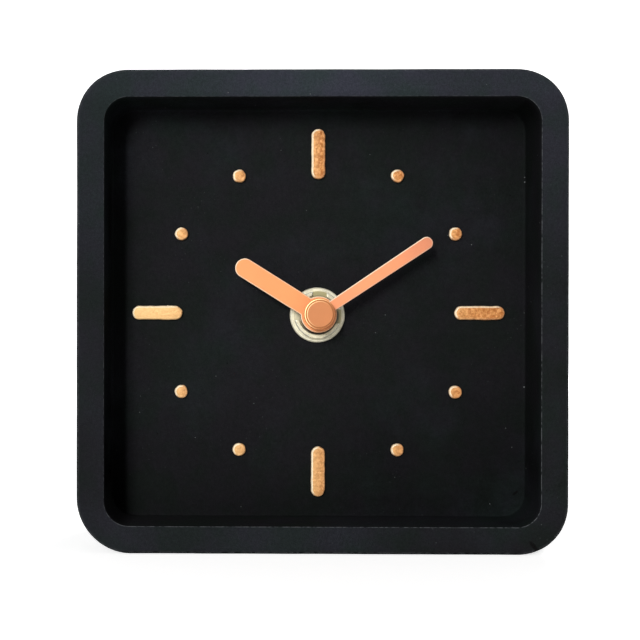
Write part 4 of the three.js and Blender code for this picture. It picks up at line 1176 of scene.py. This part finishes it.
def washer_section(bore, radius, front, back):
    """Washer section as radius, y and edge share: flat ring, shallow groove and bevelled edge."""
    return np.array([
        (bore, back, 0.0), (bore, front + 0.1 * MM, 0.0), (bore + 0.1 * MM, front, 0.0),
        (radius - 0.72 * MM, front, 0.0), (radius - 0.64 * MM, front + 0.03 * MM, 0.0),
        (radius - 0.54 * MM, front + 0.03 * MM, 0.0), (radius - 0.46 * MM, front, 0.2),
        (radius - 0.3 * MM, front, 0.25), (radius - 0.06 * MM, front + 0.2 * MM, 0.1),
        (radius, front + 0.32 * MM, 0.0), (radius, back - 0.06 * MM, 0.0),
        (radius - 0.06 * MM, back, 0.0),
    ])


# The nut's slots in turn: share of the full depth, patina and painted shade on the floor, and
# painted shadow in it
NUT_SLOTS = ((1.0, 1.0, 0.1), (1.0, 0.8, 0.85), (0.3, 0.22, 0.0), (0.8, 0.4, 0.25))


def nut_grid(bore, radius, front, back, slots, slot_width, slot_depth, turn):
    """Round nut with straight-sided slots across its front.

    A section of bore, flared mouth, face, chamfer and side is turned about Y. Columns follow the
    slots' straight walls at every radius: an angle within a slot is the arcsine of half the
    width over the radius, times the column's share. Within a slot the front is cut down to its
    floor, and beside it the face has a small lip with a painted highlight. The mouth is darkened
    with painted shade, most of it at the lower right as the hub's painted shadow, and the slots
    hold painted shadow and patina with painted shade.
    """
    section = np.array([  # radius, y, edge share and painted shade
        (bore, back, 0, 1), (bore, front + 0.9 * MM, 0, 1),
        (bore + 0.02 * MM, front + 0.6 * MM, 0, 1),
        (bore + 0.3 * MM, front + 0.3 * MM, 0.1, 1),
        (bore + 0.54 * MM, front + 0.06 * MM, 0.3, 0.9),
        (bore + 0.6 * MM, front, 0.2, 0.5), (bore + 0.66 * MM, front, 0, 0),
        (radius - 0.32 * MM, front, 0, 0), (radius - 0.26 * MM, front, 0.2, 0),
        (radius - 0.2 * MM, front + 0.03 * MM, 0.5, 0),
        (radius - 0.04 * MM, front + 0.2 * MM, 0.6, 0), (radius, front + 0.28 * MM, 0.3, 0),
        (radius, front + 0.9 * MM, 0, 0), (radius, back - 0.15 * MM, 0, 0),
        (radius - 0.12 * MM, back, 0, 0),
    ])
    r, y, rim_edge, mouth = (section[:, i:i + 1] for i in range(4))
    half = np.arcsin(slot_width / 2 / r)
    pitch = 2 * np.pi / slots
    inside = np.linspace(-1.0, 1.0, 13)
    outside = np.concatenate([[0.0, 0.015, 0.05], np.linspace(0.1, 0.9, 13), [0.95, 0.985, 1.0]])
    lip = np.interp(np.minimum(outside, 1 - outside), [0.0, 0.015, 0.05],
                    [0.12 * MM, 0.03 * MM, 0.0])
    # Painted highlight on the lips beside the slots
    shine = np.clip((r - bore - 0.75 * MM) / (0.3 * MM), 0.0, 1.0) * (y < front + 0.3 * MM)
    columns = {"angle": [], "y": [], "edge": [], "shade": [], "dirt": []}
    for i in range(slots):
        centre = turn + i * pitch
        depth_share, patina, dirt = NUT_SLOTS[i % len(NUT_SLOTS)]
        floor = front + slot_depth * depth_share
        cut = y < floor
        well = cut * (r < radius - 0.45 * MM) * dirt
        columns["angle"] += [centre + half * inside, centre + half + (pitch - 2 * half) * outside]
        columns["y"] += [np.maximum(y, floor + 0 * inside), np.maximum(y, front + lip)]
        columns["edge"] += [0 * half * inside, np.maximum(rim_edge, shine * (lip > 0.02 * MM))]
        columns["shade"] += [cut * patina + 0 * inside, 0.22 + 0 * half * outside]
        columns["dirt"] += [well * (1 - inside ** 4), 0 * half * outside]
    angle, y, edge, shade, dirt = (np.concatenate(parts, axis=1) for parts in columns.values())
    # Painted shade in the mouth, heaviest at the lower right where the hub's shadow falls, and
    # painted shadow in the slots
    low_right = np.sin(angle) * 0.35 - np.cos(angle) * 0.94
    painted_shade = np.maximum(mouth * (0.25 + 0.75 * step(low_right, -0.05, 0.55)), dirt)
    grid = np.stack([r * np.sin(angle), np.minimum(y, back), r * np.cos(angle)], axis=-1)
    return {"grid": grid, "edge": edge, "shade": shade, "bloom": painted_shade}


def hand_outline(reach, root, tip, hub):
    """Hand seen from the front, anticlockwise, pointing up.

    A round tip, straight sides that change width evenly down to the hub, and the hub's arc
    between. A side meets the hub where its half width and the height make up the hub's radius,
    found in a few rounds.
    """
    tip_centre = reach - tip / 2
    join = hub * 0.8
    for _ in range(6):
        half = root / 2 + (tip - root) / 2 * join / tip_centre
        join = math.sqrt(hub ** 2 - half ** 2)
    over = np.linspace(0.0, np.pi, 25)
    end = np.stack([np.cos(over) * tip / 2, tip_centre + np.sin(over) * tip / 2], axis=-1)
    down = np.linspace(tip_centre, join, 26)[1:-1]
    width = root / 2 + (tip - root) / 2 * down / tip_centre
    left = np.stack([-width, down], axis=-1)
    start = math.atan2(join, -half)
    arc = np.linspace(start, 3 * np.pi - start, 57)
    round_hub = hub * np.stack([np.cos(arc), np.sin(arc)], axis=-1)
    right = np.stack([width, down], axis=-1)[::-1]
    return np.concatenate([end, left, round_hub, right])


FLANGE_THICKNESS = 1.0 * MM


def thread_grid(radius, bore, front, back, pitch, depth, flange, flange_front):
    """Threaded tube: the radius falls and rises once per pitch along a helix.

    The thread's depth is a triangle wave of the axial place less the share of a turn, and it fades
    out at both ends.
    """
    count = 64
    rows = int((back - front) / pitch * 8)
    y = np.linspace(front, back, rows + 1)[:, None]
    turn = np.arange(count)[None, :] / count
    wave = np.abs(((y / pitch - turn) % 1.0) * 2 - 1)
    fade = smooth((y - front) / pitch) * smooth((back - y) / pitch)
    reach = radius - depth * wave * fade
    angles = turn * 2 * np.pi
    skin = np.stack([reach * np.cos(angles), np.broadcast_to(y, reach.shape),
                     reach * np.sin(angles)], axis=-1)
    start = lathe([(bore, flange), (bore, front + 0.1 * MM), (bore + 0.1 * MM, front),
                   (radius - 0.25 * MM, front)], count)
    flange_back = flange_front + FLANGE_THICKNESS
    end = lathe([(radius, back), (radius, flange_front), (flange, flange_front),
                 (flange, flange_back), (bore, flange_back)], count)
    start[0] = end[-1]
    return np.concatenate([start, skin, end])


# Operators

class ClockOperator:
    """Shared parts of the clock's operators."""
    bl_options = {"REGISTER", "UNDO"}


class CLOCK_OT_cast_case(ClockOperator, bpy.types.Operator):
    """Builds the cast case with its recess, dial and rear pocket"""
    bl_idname = "clock.cast_case"
    bl_label = "Cast case"

    def execute(self, context):
        grid, fields = case_grid(context.scene.clock_case)
        mesh_piece("cast_case", [{"grid": grid, **fields}],
                   body_of("case_body"), finish_for("cast_black"), ["case_body"])
        return {"FINISHED"}


# Loose grains as x and z in metres; lifts off the dial and radii in millimetres
PAINT_FLAKES = ((-0.0355, 0.0559, 0.45, 0.2), (-0.0342, 0.0557, 0.4, 0.15))
WALL_GRIT = ((0.0486, 0.0862, 0.2), (0.0486, 0.0851, 0.17), (0.0486, 0.0368, 0.18))
DIAL_GRIT = ((0.0136, 0.0496, 0.13), (0.0159, 0.0538, 0.11), (0.0443, 0.0271, 0.13),
             (-0.029, 0.0247, 0.12), (0.0362, 0.0704, 0.1), (0.0406, 0.0092, 0.15))
WALL_LIFT, DIAL_LIFT = 0.25, -0.04


class CLOCK_OT_loose_grains(ClockOperator, bpy.types.Operator):
    """Builds two flakes of paint over the nine and pale grit by the recess wall and on the dial"""
    bl_idname = "clock.loose_grains"
    bl_label = "Loose grains"

    def execute(self, context):
        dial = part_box("marker_9")[1].y
        flakes = [(x, dial - lift * MM, z, radius * MM) for x, z, lift, radius in PAINT_FLAKES]
        # The flakes take the full painted sheen and the painted edge highlight
        parts = [{**part, "bloom": 1.0, "edge": 1.0} for part in grain_grids(flakes, 5)]
        mesh_piece("paint_flakes", parts, body_of("marker_9"),
                   finish_for("copper_paint"), (), 60.0)
        grit = [(x, dial - lift * MM, z, radius * MM)
                for lift, spots in ((WALL_LIFT, WALL_GRIT), (DIAL_LIFT, DIAL_GRIT))
                for x, z, radius in spots]
        material = material_named("pale_grit", pale_grit)
        mesh_piece("pale_grit", grain_grids(grit, 11), body_of("case_body"),
                   material, (), 60.0)
        return {"FINISHED"}


# Painted sheen on each marker's paint, strongest on the markers at the left where the light falls,
# from one o'clock to twelve
PAINTED_SHEEN = (0.02, 0.05, 0.0, 0.1, 0.25, 0.32, 0.55, 0.45, 0.8, 0.3, 0.25, 0.08)


class CLOCK_OT_hour_markers(ClockOperator, bpy.types.Operator):
    """Builds the twelve raised hour markers"""
    bl_idname = "clock.hour_markers"
    bl_label = "Hour markers"

    def execute(self, context):
        s = context.scene.clock_markers
        for hour in range(1, 13):
            node = f"marker_{hour}"
            low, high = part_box(node)
            wide, tall = high.x - low.x, high.z - low.z
            radius = min(wide, tall) / 2
            half_length = max(wide, tall) / 2 - radius
            if half_length < 0.3 * MM:
                half_length = 0.0
            middle = centre_of(node)
            turn = math.pi / 2 if wide > tall + 1 * MM else 0.0
            part = marker_grid(half_length, radius, high.y - low.y, s, hour * 7, turn)
            place = part["grid"][..., 0] * math.cos(turn) + part["grid"][..., 2] * math.sin(turn)
            # Painted sheen, more on each marker's left side than on its right
            part["bloom"] = np.clip(PAINTED_SHEEN[hour - 1] - 0.2 * place / (wide / 2), 0.0, 1.0)
            mesh_piece(f"painted_marker_{hour}", [part], body_of(node),
                       finish_for("copper_paint"), [node], 60.0, (middle[0], high.y, middle[2]),
                       turn)
        return {"FINISHED"}


class CLOCK_OT_neck(ClockOperator, bpy.types.Operator):
    """Builds the washer, nut and threaded bush on the dial"""
    bl_idname = "clock.neck"
    bl_label = "Washer, nut and bush"

    def execute(self, context):
        metal = context.scene.clock_metal
        plating = finish_for("pale_brass")
        middle = centre_of("washer")
        low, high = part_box("washer")
        radius = (high.x - low.x) / 2
        section = washer_section(metal.neck_bore, radius, low.y, high.y)
        place, dial = (middle[0], 0, middle[2]), high.y
        mesh_piece("pale_washer", [{"grid": lathe(section[:, :2], 128), "edge": section[:, 2]}],
                   body_of("washer"), plating, ["washer"], 20.0, place)
        low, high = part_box("nut")
        part = nut_grid(metal.neck_bore, metal.nut_radius, low.y, high.y, metal.nut_slots,
                        metal.slot_width, metal.slot_depth, metal.nut_turn)
        mesh_piece("slotted_nut", [part], body_of("nut"),
                   plating, ["nut"], 20.0, place)
        low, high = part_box("threaded_bush")
        grid = thread_grid(metal.bush_radius, metal.bush_bore, low.y, dial + 0.4 * MM,
                           metal.thread_pitch, metal.thread_depth, (high.x - low.x) / 2,
                           high.y - FLANGE_THICKNESS)
        mesh_piece("screw_bush", [{"grid": grid, "edge": 0.3, "wrap": False}],
                   body_of("threaded_bush"), finish_for("brass"), ["threaded_bush"], 25.0,
                   place)
        return {"FINISHED"}


class CLOCK_OT_hands(ClockOperator, bpy.types.Operator):
    """Builds the hour hand, the minute hand and the cap"""
    bl_idname = "clock.hands"
    bl_label = "Hands and cap"

    def execute(self, context):
        s = context.scene.clock_hands
        axis = centre_of("hand_cap")
        for kind, root, tip, dull_tip in (("hour", s.hour_width, s.hour_width, 0.0),
                                          ("minute", s.minute_root, s.minute_tip, 0.9)):
            node = f"{kind}_hand"
            reach, hub, bore, collet, thick, turn, tone = (
                getattr(s, f"{kind}_{size}")
                for size in ("length", "hub", "bore", "collet", "thickness", "turn", "tone"))
            low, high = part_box(node)
            outline = hand_outline(reach, root, tip, hub)
            blade, worn = plate(outline, bore, low.y, low.y + thick, s.edge_rounding, 6)
            sleeve, rubbed = plate(circle(collet, 64), bore, low.y + thick - 0.02 * MM, high.y,
                                   0.1 * MM)
            finish = f"satin_copper_{kind}"
            material = material_named(finish, lambda: satin_copper(
                finish, tuple(tone), tuple(s.edge_tone)))
            out = grid_normals(blade)
            if out[-1, 0, 1] < 0:
                out = -out
            # Painted highlight: edges that face the light get more of the pale edge tone
            lit = step(facing_light(out[..., 0], out[..., 2], turn), -0.2, 0.3)
            dull = dull_tip * step(blade[..., 2] / reach, 0.6, 1.0)
            mesh_piece(f"flat_{kind}_hand",
                       [{"grid": blade, "edge": worn[:, None] * (0.35 + 0.65 * lit), "bloom": dull},
                        {"grid": sleeve, "edge": rubbed * 0.4}],
                       body_of(node), material, [node], 40.0,
                       (axis[0], 0, axis[2]), turn)
        low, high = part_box("hand_cap")
        section = cap_profile(low.y, high.y, (high.x - low.x) / 2, s.cap_face)
        material = material_named("satin_copper_cap", lambda: satin_copper(
            "satin_copper_cap", tuple(s.cap_tone), tuple(s.cap_edge), 0.75))
        grid, worn = lathe(section[:, :2], 96), section[:, 2:]
        # Painted highlight on the cap's edges that face the light, and painted shade on those that
        # face away
        facing = facing_light(grid[..., 0], grid[..., 2]) / np.maximum(section[:, :1], 1e-6)
        part = {"grid": grid, "edge": worn * smooth(facing * 0.8 + 0.45),
                "shade": worn * 0.75 * smooth(-0.1 - facing), "wrap": False}
        mesh_piece("chamfered_cap", [part], body_of("hand_cap"), material,
                   ["hand_cap"], 40.0, (axis[0], 0, axis[2]))
        return {"FINISHED"}


class CLOCK_OT_movement_shells(ClockOperator, bpy.types.Operator):
    """Softens the movement's moulded shells and the contacts"""
    bl_idname = "clock.movement_shells"
    bl_label = "Movement shells"

    def execute(self, context):
        s = context.scene.clock_movement
        for node in ("movement_case", "movement_cover"):
            softened_copy(node, f"moulded_{node}", finish_for(slot_of(node)),
                          s.edge_rounding)
        for node in ("positive_contact", "negative_contact"):
            softened_copy(node, f"sprung_{node}", finish_for(slot_of(node)),
                          0.08 * MM, 2)
        return {"FINISHED"}


def cell_profile(radius, half, band):
    """Cell section as radius and place along X, from end to end, and the share of bare metal.

    A sunk flat end, a quarter-circle bead, the sleeve with close rows at the band's two edges,
    the other bead, a groove and the raised nub.
    """
    nub, bead = 1.2 * MM, 0.7 * MM
    shoulder = half - nub
    sines, cosines = quarter(5)
    flat_end = [(0.0, -half + 0.15 * MM), (radius * 0.62, -half + 0.15 * MM),
                (radius * 0.68, -half), (radius - bead, -half)]
    first_bead = np.stack([radius - bead * (1 - sines), -half + bead * (1 - cosines)], axis=-1)
    places = np.linspace(-half + 1.2 * MM, shoulder - 1.2 * MM, 26)
    places = np.sort(np.concatenate([places, band - 0.04 * MM, band + 0.04 * MM]))
    sleeve = np.stack([np.full(len(places), radius), places], axis=-1)
    last_bead = np.stack([radius - bead * (1 - cosines), shoulder - bead * (1 - sines)], axis=-1)
    groove = [(radius - bead - 0.5 * MM, shoulder)]
    nub_end = [(radius - bead - 0.7 * MM, shoulder - 0.12 * MM), (2.9 * MM, shoulder - 0.1 * MM),
               (2.6 * MM, shoulder + 0.1 * MM), (2.6 * MM, half - 0.25 * MM), (2.35 * MM, half),
               (0.0, half)]
    parts = [flat_end, first_bead, sleeve, last_bead, groove, nub_end]
    bare = np.concatenate([np.full(len(part), part is flat_end or part is nub_end, float)
                           for part in parts])
    return np.concatenate([np.asarray(part) for part in parts]), bare


class CLOCK_OT_battery(ClockOperator, bpy.types.Operator):
    """Builds the cell in its bay"""
    bl_idname = "clock.battery"
    bl_label = "Battery"

    def execute(self, context):
        s = context.scene.clock_movement
        low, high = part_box("battery")
        radius, half = (high.z - low.z) / 2, (high.x - low.x) / 2
        band = np.array([half - s.band_start, half - s.band_end])
        profile, bare = cell_profile(radius, half, band)
        printed = ((profile[:, 1] > band[0]) & (profile[:, 1] < band[1])).astype(float)
        turned = lathe(profile, 72)
        grid = np.stack([turned[..., 1], turned[..., 0], turned[..., 2]], axis=-1)
        mesh_piece("sleeved_cell", [{"grid": grid, "edge": bare, "bloom": printed, "wrap": False}],
                   body_of("battery"), finish_for("battery_sleeve"), ["battery"],
                   35.0, tuple(centre_of("battery")))
        return {"FINISHED"}


def dish_section(radius, back, boss, boss_top):
    """Knob's rear face as radius, y and edge share: boss over the stem, sunk dish, raised rim."""
    floor = back - 0.72 * MM
    rim = [(-1.5, 0.6, 0.0), (-1.3, 0.08, 0.9), (-1.2, 0.0, 1.0), (-0.86, 0.0, 1.0),
           (-0.76, 0.08, 0.9), (-0.7, 0.3, 0.0)]
    rows = [(0.0, boss_top, 0.0), (boss - 0.1 * MM, boss_top, 0.6),
            (boss, boss_top - 0.1 * MM, 0.2), (boss + 0.1 * MM, floor, 0.0),
            (radius - 1.75 * MM, floor, 0.0)]
    rows += [(radius + out * MM, back - deep * MM, worn) for out, deep, worn in rim]
    return np.array(rows + [(0.0, back - 1.1 * MM, 0.0)])


class CLOCK_OT_setting_knob(ClockOperator, bpy.types.Operator):
    """Builds the knurled setting knob at the back"""
    bl_idname = "clock.setting_knob"
    bl_label = "Setting knob"

    def execute(self, context):
        s = context.scene.clock_movement
        low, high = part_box("setting_knob")
        middle = centre_of("setting_knob")
        radius = (high.x - low.x) / 2
        points = s.knob_teeth * 10
        wave = 0.5 - 0.5 * np.cos(s.knob_teeth * np.arange(points) * 2 * np.pi / points)
        outline = circle(1.0, points) * (radius - s.tooth_depth * wave)[:, None]
        disc, worn = plate(outline, 1.55 * MM, low.y, high.y - 0.25 * MM, 0.2 * MM)
        stem_low, stem_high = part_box("setting_stem")
        dish = dish_section(radius, high.y, (stem_high.x - stem_low.x) / 2 + 0.15 * MM,
                            stem_high.y + 0.08 * MM)
        crown = {"grid": lathe(dish[:, :2], 72), "edge": dish[:, 2], "wrap": False}
        material = material_named("knob_moulding", lambda: moulded_plastic(
            "knob_moulding", tuple(s.knob_tone), 0.45))
        mesh_piece("knurled_knob", [{"grid": disc, "edge": worn}, crown],
                   body_of("setting_knob"), material, ["setting_knob"], 35.0,
                   (middle[0], 0, middle[2]))
        return {"FINISHED"}


def bead(outline, width, height, level):
    """Closed bead along an outline: an arch of half an ellipse, carried along its normals."""
    normals = outline_normals(outline)
    turn = np.linspace(0.0, np.pi, 9)
    across = np.concatenate([-np.cos(turn) * width / 2, [width / 2, -width / 2]])
    up = np.concatenate([np.sin(turn) * height, [-0.2 * MM, -0.2 * MM]])
    flat = outline + normals * across[:, None, None]
    y = np.broadcast_to((level + up)[:, None, None], flat.shape[:2] + (1,))
    edge = np.concatenate([np.sin(turn), [0.0, 0.0]])
    return {"grid": np.concatenate([flat[..., :1], y, flat[..., 1:]], axis=-1), "edge": edge}


class CLOCK_OT_cover_relief(ClockOperator, bpy.types.Operator):
    """Builds the beads on the movement's cover: a frame, a ring round the knob and grip ribs"""
    bl_idname = "clock.cover_relief"
    bl_label = "Cover relief"

    def execute(self, context):
        s = context.scene.clock_movement
        low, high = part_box("movement_cover")
        middle, knob = centre_of("movement_cover"), centre_of("setting_knob")
        half_x, half_z = (high.x - low.x) / 2, (high.z - low.z) / 2
        offset = knob[[0, 2]] - middle[[0, 2]]
        inset = s.frame_inset
        frame_line = rounded_ring(half_x - inset, half_z - inset, inset, 8, 24)[0]
        ring_line = circle(s.ring_radius, 96) + offset
        rib_line = rounded_ring(s.rib_reach, 0.45 * MM, 0.44 * MM, 4, 24)[0]
        parts = [bead(frame_line, s.frame_width, s.bead_height, high.y),
                 bead(ring_line, s.bead_width, s.bead_height, high.y)]
        for rib in range(s.rib_count):
            place = np.array([0.0, -half_z + s.rib_start + s.rib_pitch * rib])
            parts.append(bead(rib_line + place, s.bead_width, s.bead_height, high.y))
        mesh_piece("cover_relief", parts, body_of("movement_cover"),
                   finish_for("black_plastic"), (), 40.0, (middle[0], 0, middle[2]))
        return {"FINISHED"}


class CLOCK_OT_inner_works(ClockOperator, bpy.types.Operator):
    """Gives every carried-over part of the movement its finish"""
    bl_idname = "clock.inner_works"
    bl_label = "Inner works"

    def execute(self, context):
        for node, item in frame["nodes"].items():
            item.data.materials.clear()
            item.data.materials.append(finish_for(slot_of(node)))
        return {"FINISHED"}


class CLOCK_OT_stage(ClockOperator, bpy.types.Operator):
    """Sets up the floor, the backdrop, the light and the camera"""
    bl_idname = "clock.stage"
    bl_label = "Stage"

    def execute(self, context):
        s = context.scene.clock_stage
        lay_floor(s)
        light_scene(s)
        place_camera(s)
        context.scene.view_settings.view_transform = "Standard"
        return {"FINISHED"}


def lay_floor(s):
    """Floor that curves up into a backdrop: a profile of floor, quarter circle and wall.

    It glows a little where rays see it directly, less round the clock, so that the shadow shows.
    """
    bend, cove = np.linspace(0.0, np.pi / 2, 13), 0.5
    depth = np.concatenate([[-1.2], 1.2 + cove * np.sin(bend), [1.2 + cove]])
    height = np.concatenate([[0.0], cove * (1 - np.cos(bend)), [2.4]])
    across, depths = np.meshgrid(np.linspace(-2.2, 2.2, 9), depth)
    heights = np.broadcast_to(height[:, None], depths.shape)
    points = np.stack([across, depths, heights], axis=-1).reshape(-1, 3)
    index = np.arange(len(points)).reshape(depths.shape)
    faces = np.stack([index[:-1, :-1], index[:-1, 1:], index[1:, 1:], index[1:, :-1]],
                     axis=-1).reshape(-1, 4)
    mesh = bpy.data.meshes.new("floor")
    mesh.from_pydata(points.tolist(), [], faces.tolist())
    mesh.shade_smooth()
    material, tree, shader = new_material("floor", Roughness=0.9, Specular_IOR_Level=0.1)
    paper = use_group(tree, "Clouds", Scale=3.0, Low=0.3, High=0.8,
                      First=tuple(s.floor_tone), Second=tuple(c * 0.99 for c in s.floor_tone))
    feed(tree, shader.inputs["Base Color"], paper.outputs["Colour"])
    shader.inputs["Emission Color"].default_value = (1.0, 1.0, 1.0, 1.0)
    near = tree.nodes.new("ShaderNodeTexGradient")
    near.gradient_type = "SPHERICAL"
    feed(tree, near.inputs[0], tree.nodes.new("ShaderNodeTexCoord").outputs["Object"])
    glow = spread(tree, near.outputs["Fac"], 0.05, 0.65, 0.95, 0.64)
    feed(tree, shader.inputs["Emission Strength"],
         maths(tree, "MULTIPLY", seen_directly(tree), glow))
    mesh.materials.append(material)
    floor = bpy.data.objects.new("floor", mesh)
    bpy.context.scene.collection.objects.link(floor)


def light_scene(s):
    """Tall lamp at the upper left, a wider one further left, one behind, and an even fill."""
    scene = bpy.context.scene
    world = bpy.data.worlds.new("studio")
    scene.world = world
    world.use_nodes = True
    tree = world.node_tree
    background = tree.nodes["Background"]
    background.inputs["Color"].default_value = (1.0, 1.0, 1.0, 1.0)
    feed(tree, background.inputs["Strength"],
         maths(tree, "ADD", maths(tree, "MULTIPLY", seen_directly(tree), 1.0 - s.fill), s.fill))
    hang_lamp("key", s.key_power, (0.09, 0.36), (-0.27, -1.0, 0.225), 1.3)
    hang_lamp("side", s.side_power, (0.55, 0.5), (-0.5, -1.0, 0.38), 1.3)
    hang_lamp("back", s.back_power, (0.5, 0.5), (0.45, 1.0, 0.6), 1.25)


def seen_directly(tree):
    """One for rays that show the white surroundings: camera, mirrored and transmitted ones."""
    rays = tree.nodes.new("ShaderNodeLightPath").outputs
    mirrored = maths(tree, "MAXIMUM", rays["Is Glossy Ray"], rays["Is Transmission Ray"])
    return maths(tree, "MAXIMUM", rays["Is Camera Ray"], mirrored)


LAMP_AIM = (0.0, -5 * MM, 54 * MM)


def hang_lamp(name, watts, size, direction, reach):
    """Oval lamp at a distance from the clock's middle, in a direction, turned towards it."""
    lamp = bpy.data.lights.new(name, "AREA")
    lamp.shape = "ELLIPSE"
    lamp.size, lamp.size_y = size
    lamp.energy = watts
    item = bpy.data.objects.new(name, lamp)
    outward = Vector(direction).normalized()
    item.location = Vector(LAMP_AIM) + outward * reach
    item.rotation_mode = "QUATERNION"
    item.rotation_quaternion = (-outward).to_track_quat("-Z", "Y")
    bpy.context.scene.collection.objects.link(item)


# The picture's side, the focal length and the place of the lens axis, in pixels
PICTURE, FOCAL_LENGTH, LENS_AXIS = 640, 1119.6, (232.0, 335.6)
# The camera's turns about X, Y and Z, in degrees
CAMERA_TURNS = (90 - 0.15, -0.07, 0.76)


def place_camera(s):
    """Camera a little left of and below the middle of the dial, as the perspective shows."""
    scene = bpy.context.scene
    lens = bpy.data.cameras.new("camera")
    lens.sensor_width = 36.0
    lens.lens = FOCAL_LENGTH / PICTURE * lens.sensor_width
    lens.shift_x = (PICTURE / 2 - LENS_AXIS[0]) / PICTURE
    lens.shift_y = (LENS_AXIS[1] - PICTURE / 2) / PICTURE
    lens.clip_start = 0.01
    camera = bpy.data.objects.new("camera", lens)
    low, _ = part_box("case_body")
    camera.location = (-s.camera_left, low.y - s.distance, s.camera_height)
    camera.rotation_euler = [math.radians(turn) for turn in CAMERA_TURNS]
    scene.collection.objects.link(camera)
    scene.camera = camera


class CLOCK_PT_panel(bpy.types.Panel):
    """Buttons for each group of pieces"""
    bl_idname = "CLOCK_PT_panel"
    bl_label = "Cast desk clock"
    bl_space_type = "VIEW_3D"
    bl_region_type = "UI"
    bl_category = "Clock"

    def draw(self, context):
        for operator in OPERATORS:
            self.layout.operator(operator.bl_idname)


OPERATORS = (CLOCK_OT_stage, CLOCK_OT_inner_works, CLOCK_OT_cast_case, CLOCK_OT_hour_markers,
             CLOCK_OT_neck, CLOCK_OT_hands, CLOCK_OT_movement_shells, CLOCK_OT_battery,
             CLOCK_OT_setting_knob, CLOCK_OT_cover_relief, CLOCK_OT_loose_grains)
SETTINGS = {"clock_case": ClockCaseSettings, "clock_markers": ClockMarkerSettings,
            "clock_hands": ClockHandSettings, "clock_metal": ClockMetalSettings,
            "clock_movement": ClockMovementSettings, "clock_stage": ClockStageSettings}


def register():
    """Adds the settings to the scene's type, then the operators and the panel."""
    for name, group in SETTINGS.items():
        bpy.utils.register_class(group)
        setattr(bpy.types.Scene, name, bpy.props.PointerProperty(type=group))
    for item in (*OPERATORS, CLOCK_PT_panel):
        bpy.utils.register_class(item)


def unregister():
    """Takes the same classes away in the opposite order."""
    for item in (CLOCK_PT_panel, *reversed(OPERATORS)):
        bpy.utils.unregister_class(item)
    for name, group in reversed(SETTINGS.items()):
        delattr(bpy.types.Scene, name)
        bpy.utils.unregister_class(group)


def main():
    register()
    bpy.ops.clock.stage()
    bpy.ops.clock.inner_works()
    bpy.ops.clock.cast_case()
    bpy.ops.clock.hour_markers()
    bpy.ops.clock.neck()
    bpy.ops.clock.hands()
    bpy.ops.clock.movement_shells()
    bpy.ops.clock.battery()
    bpy.ops.clock.setting_knob()
    bpy.ops.clock.cover_relief()
    bpy.ops.clock.loose_grains()


if __name__ == "__main__":
    main()
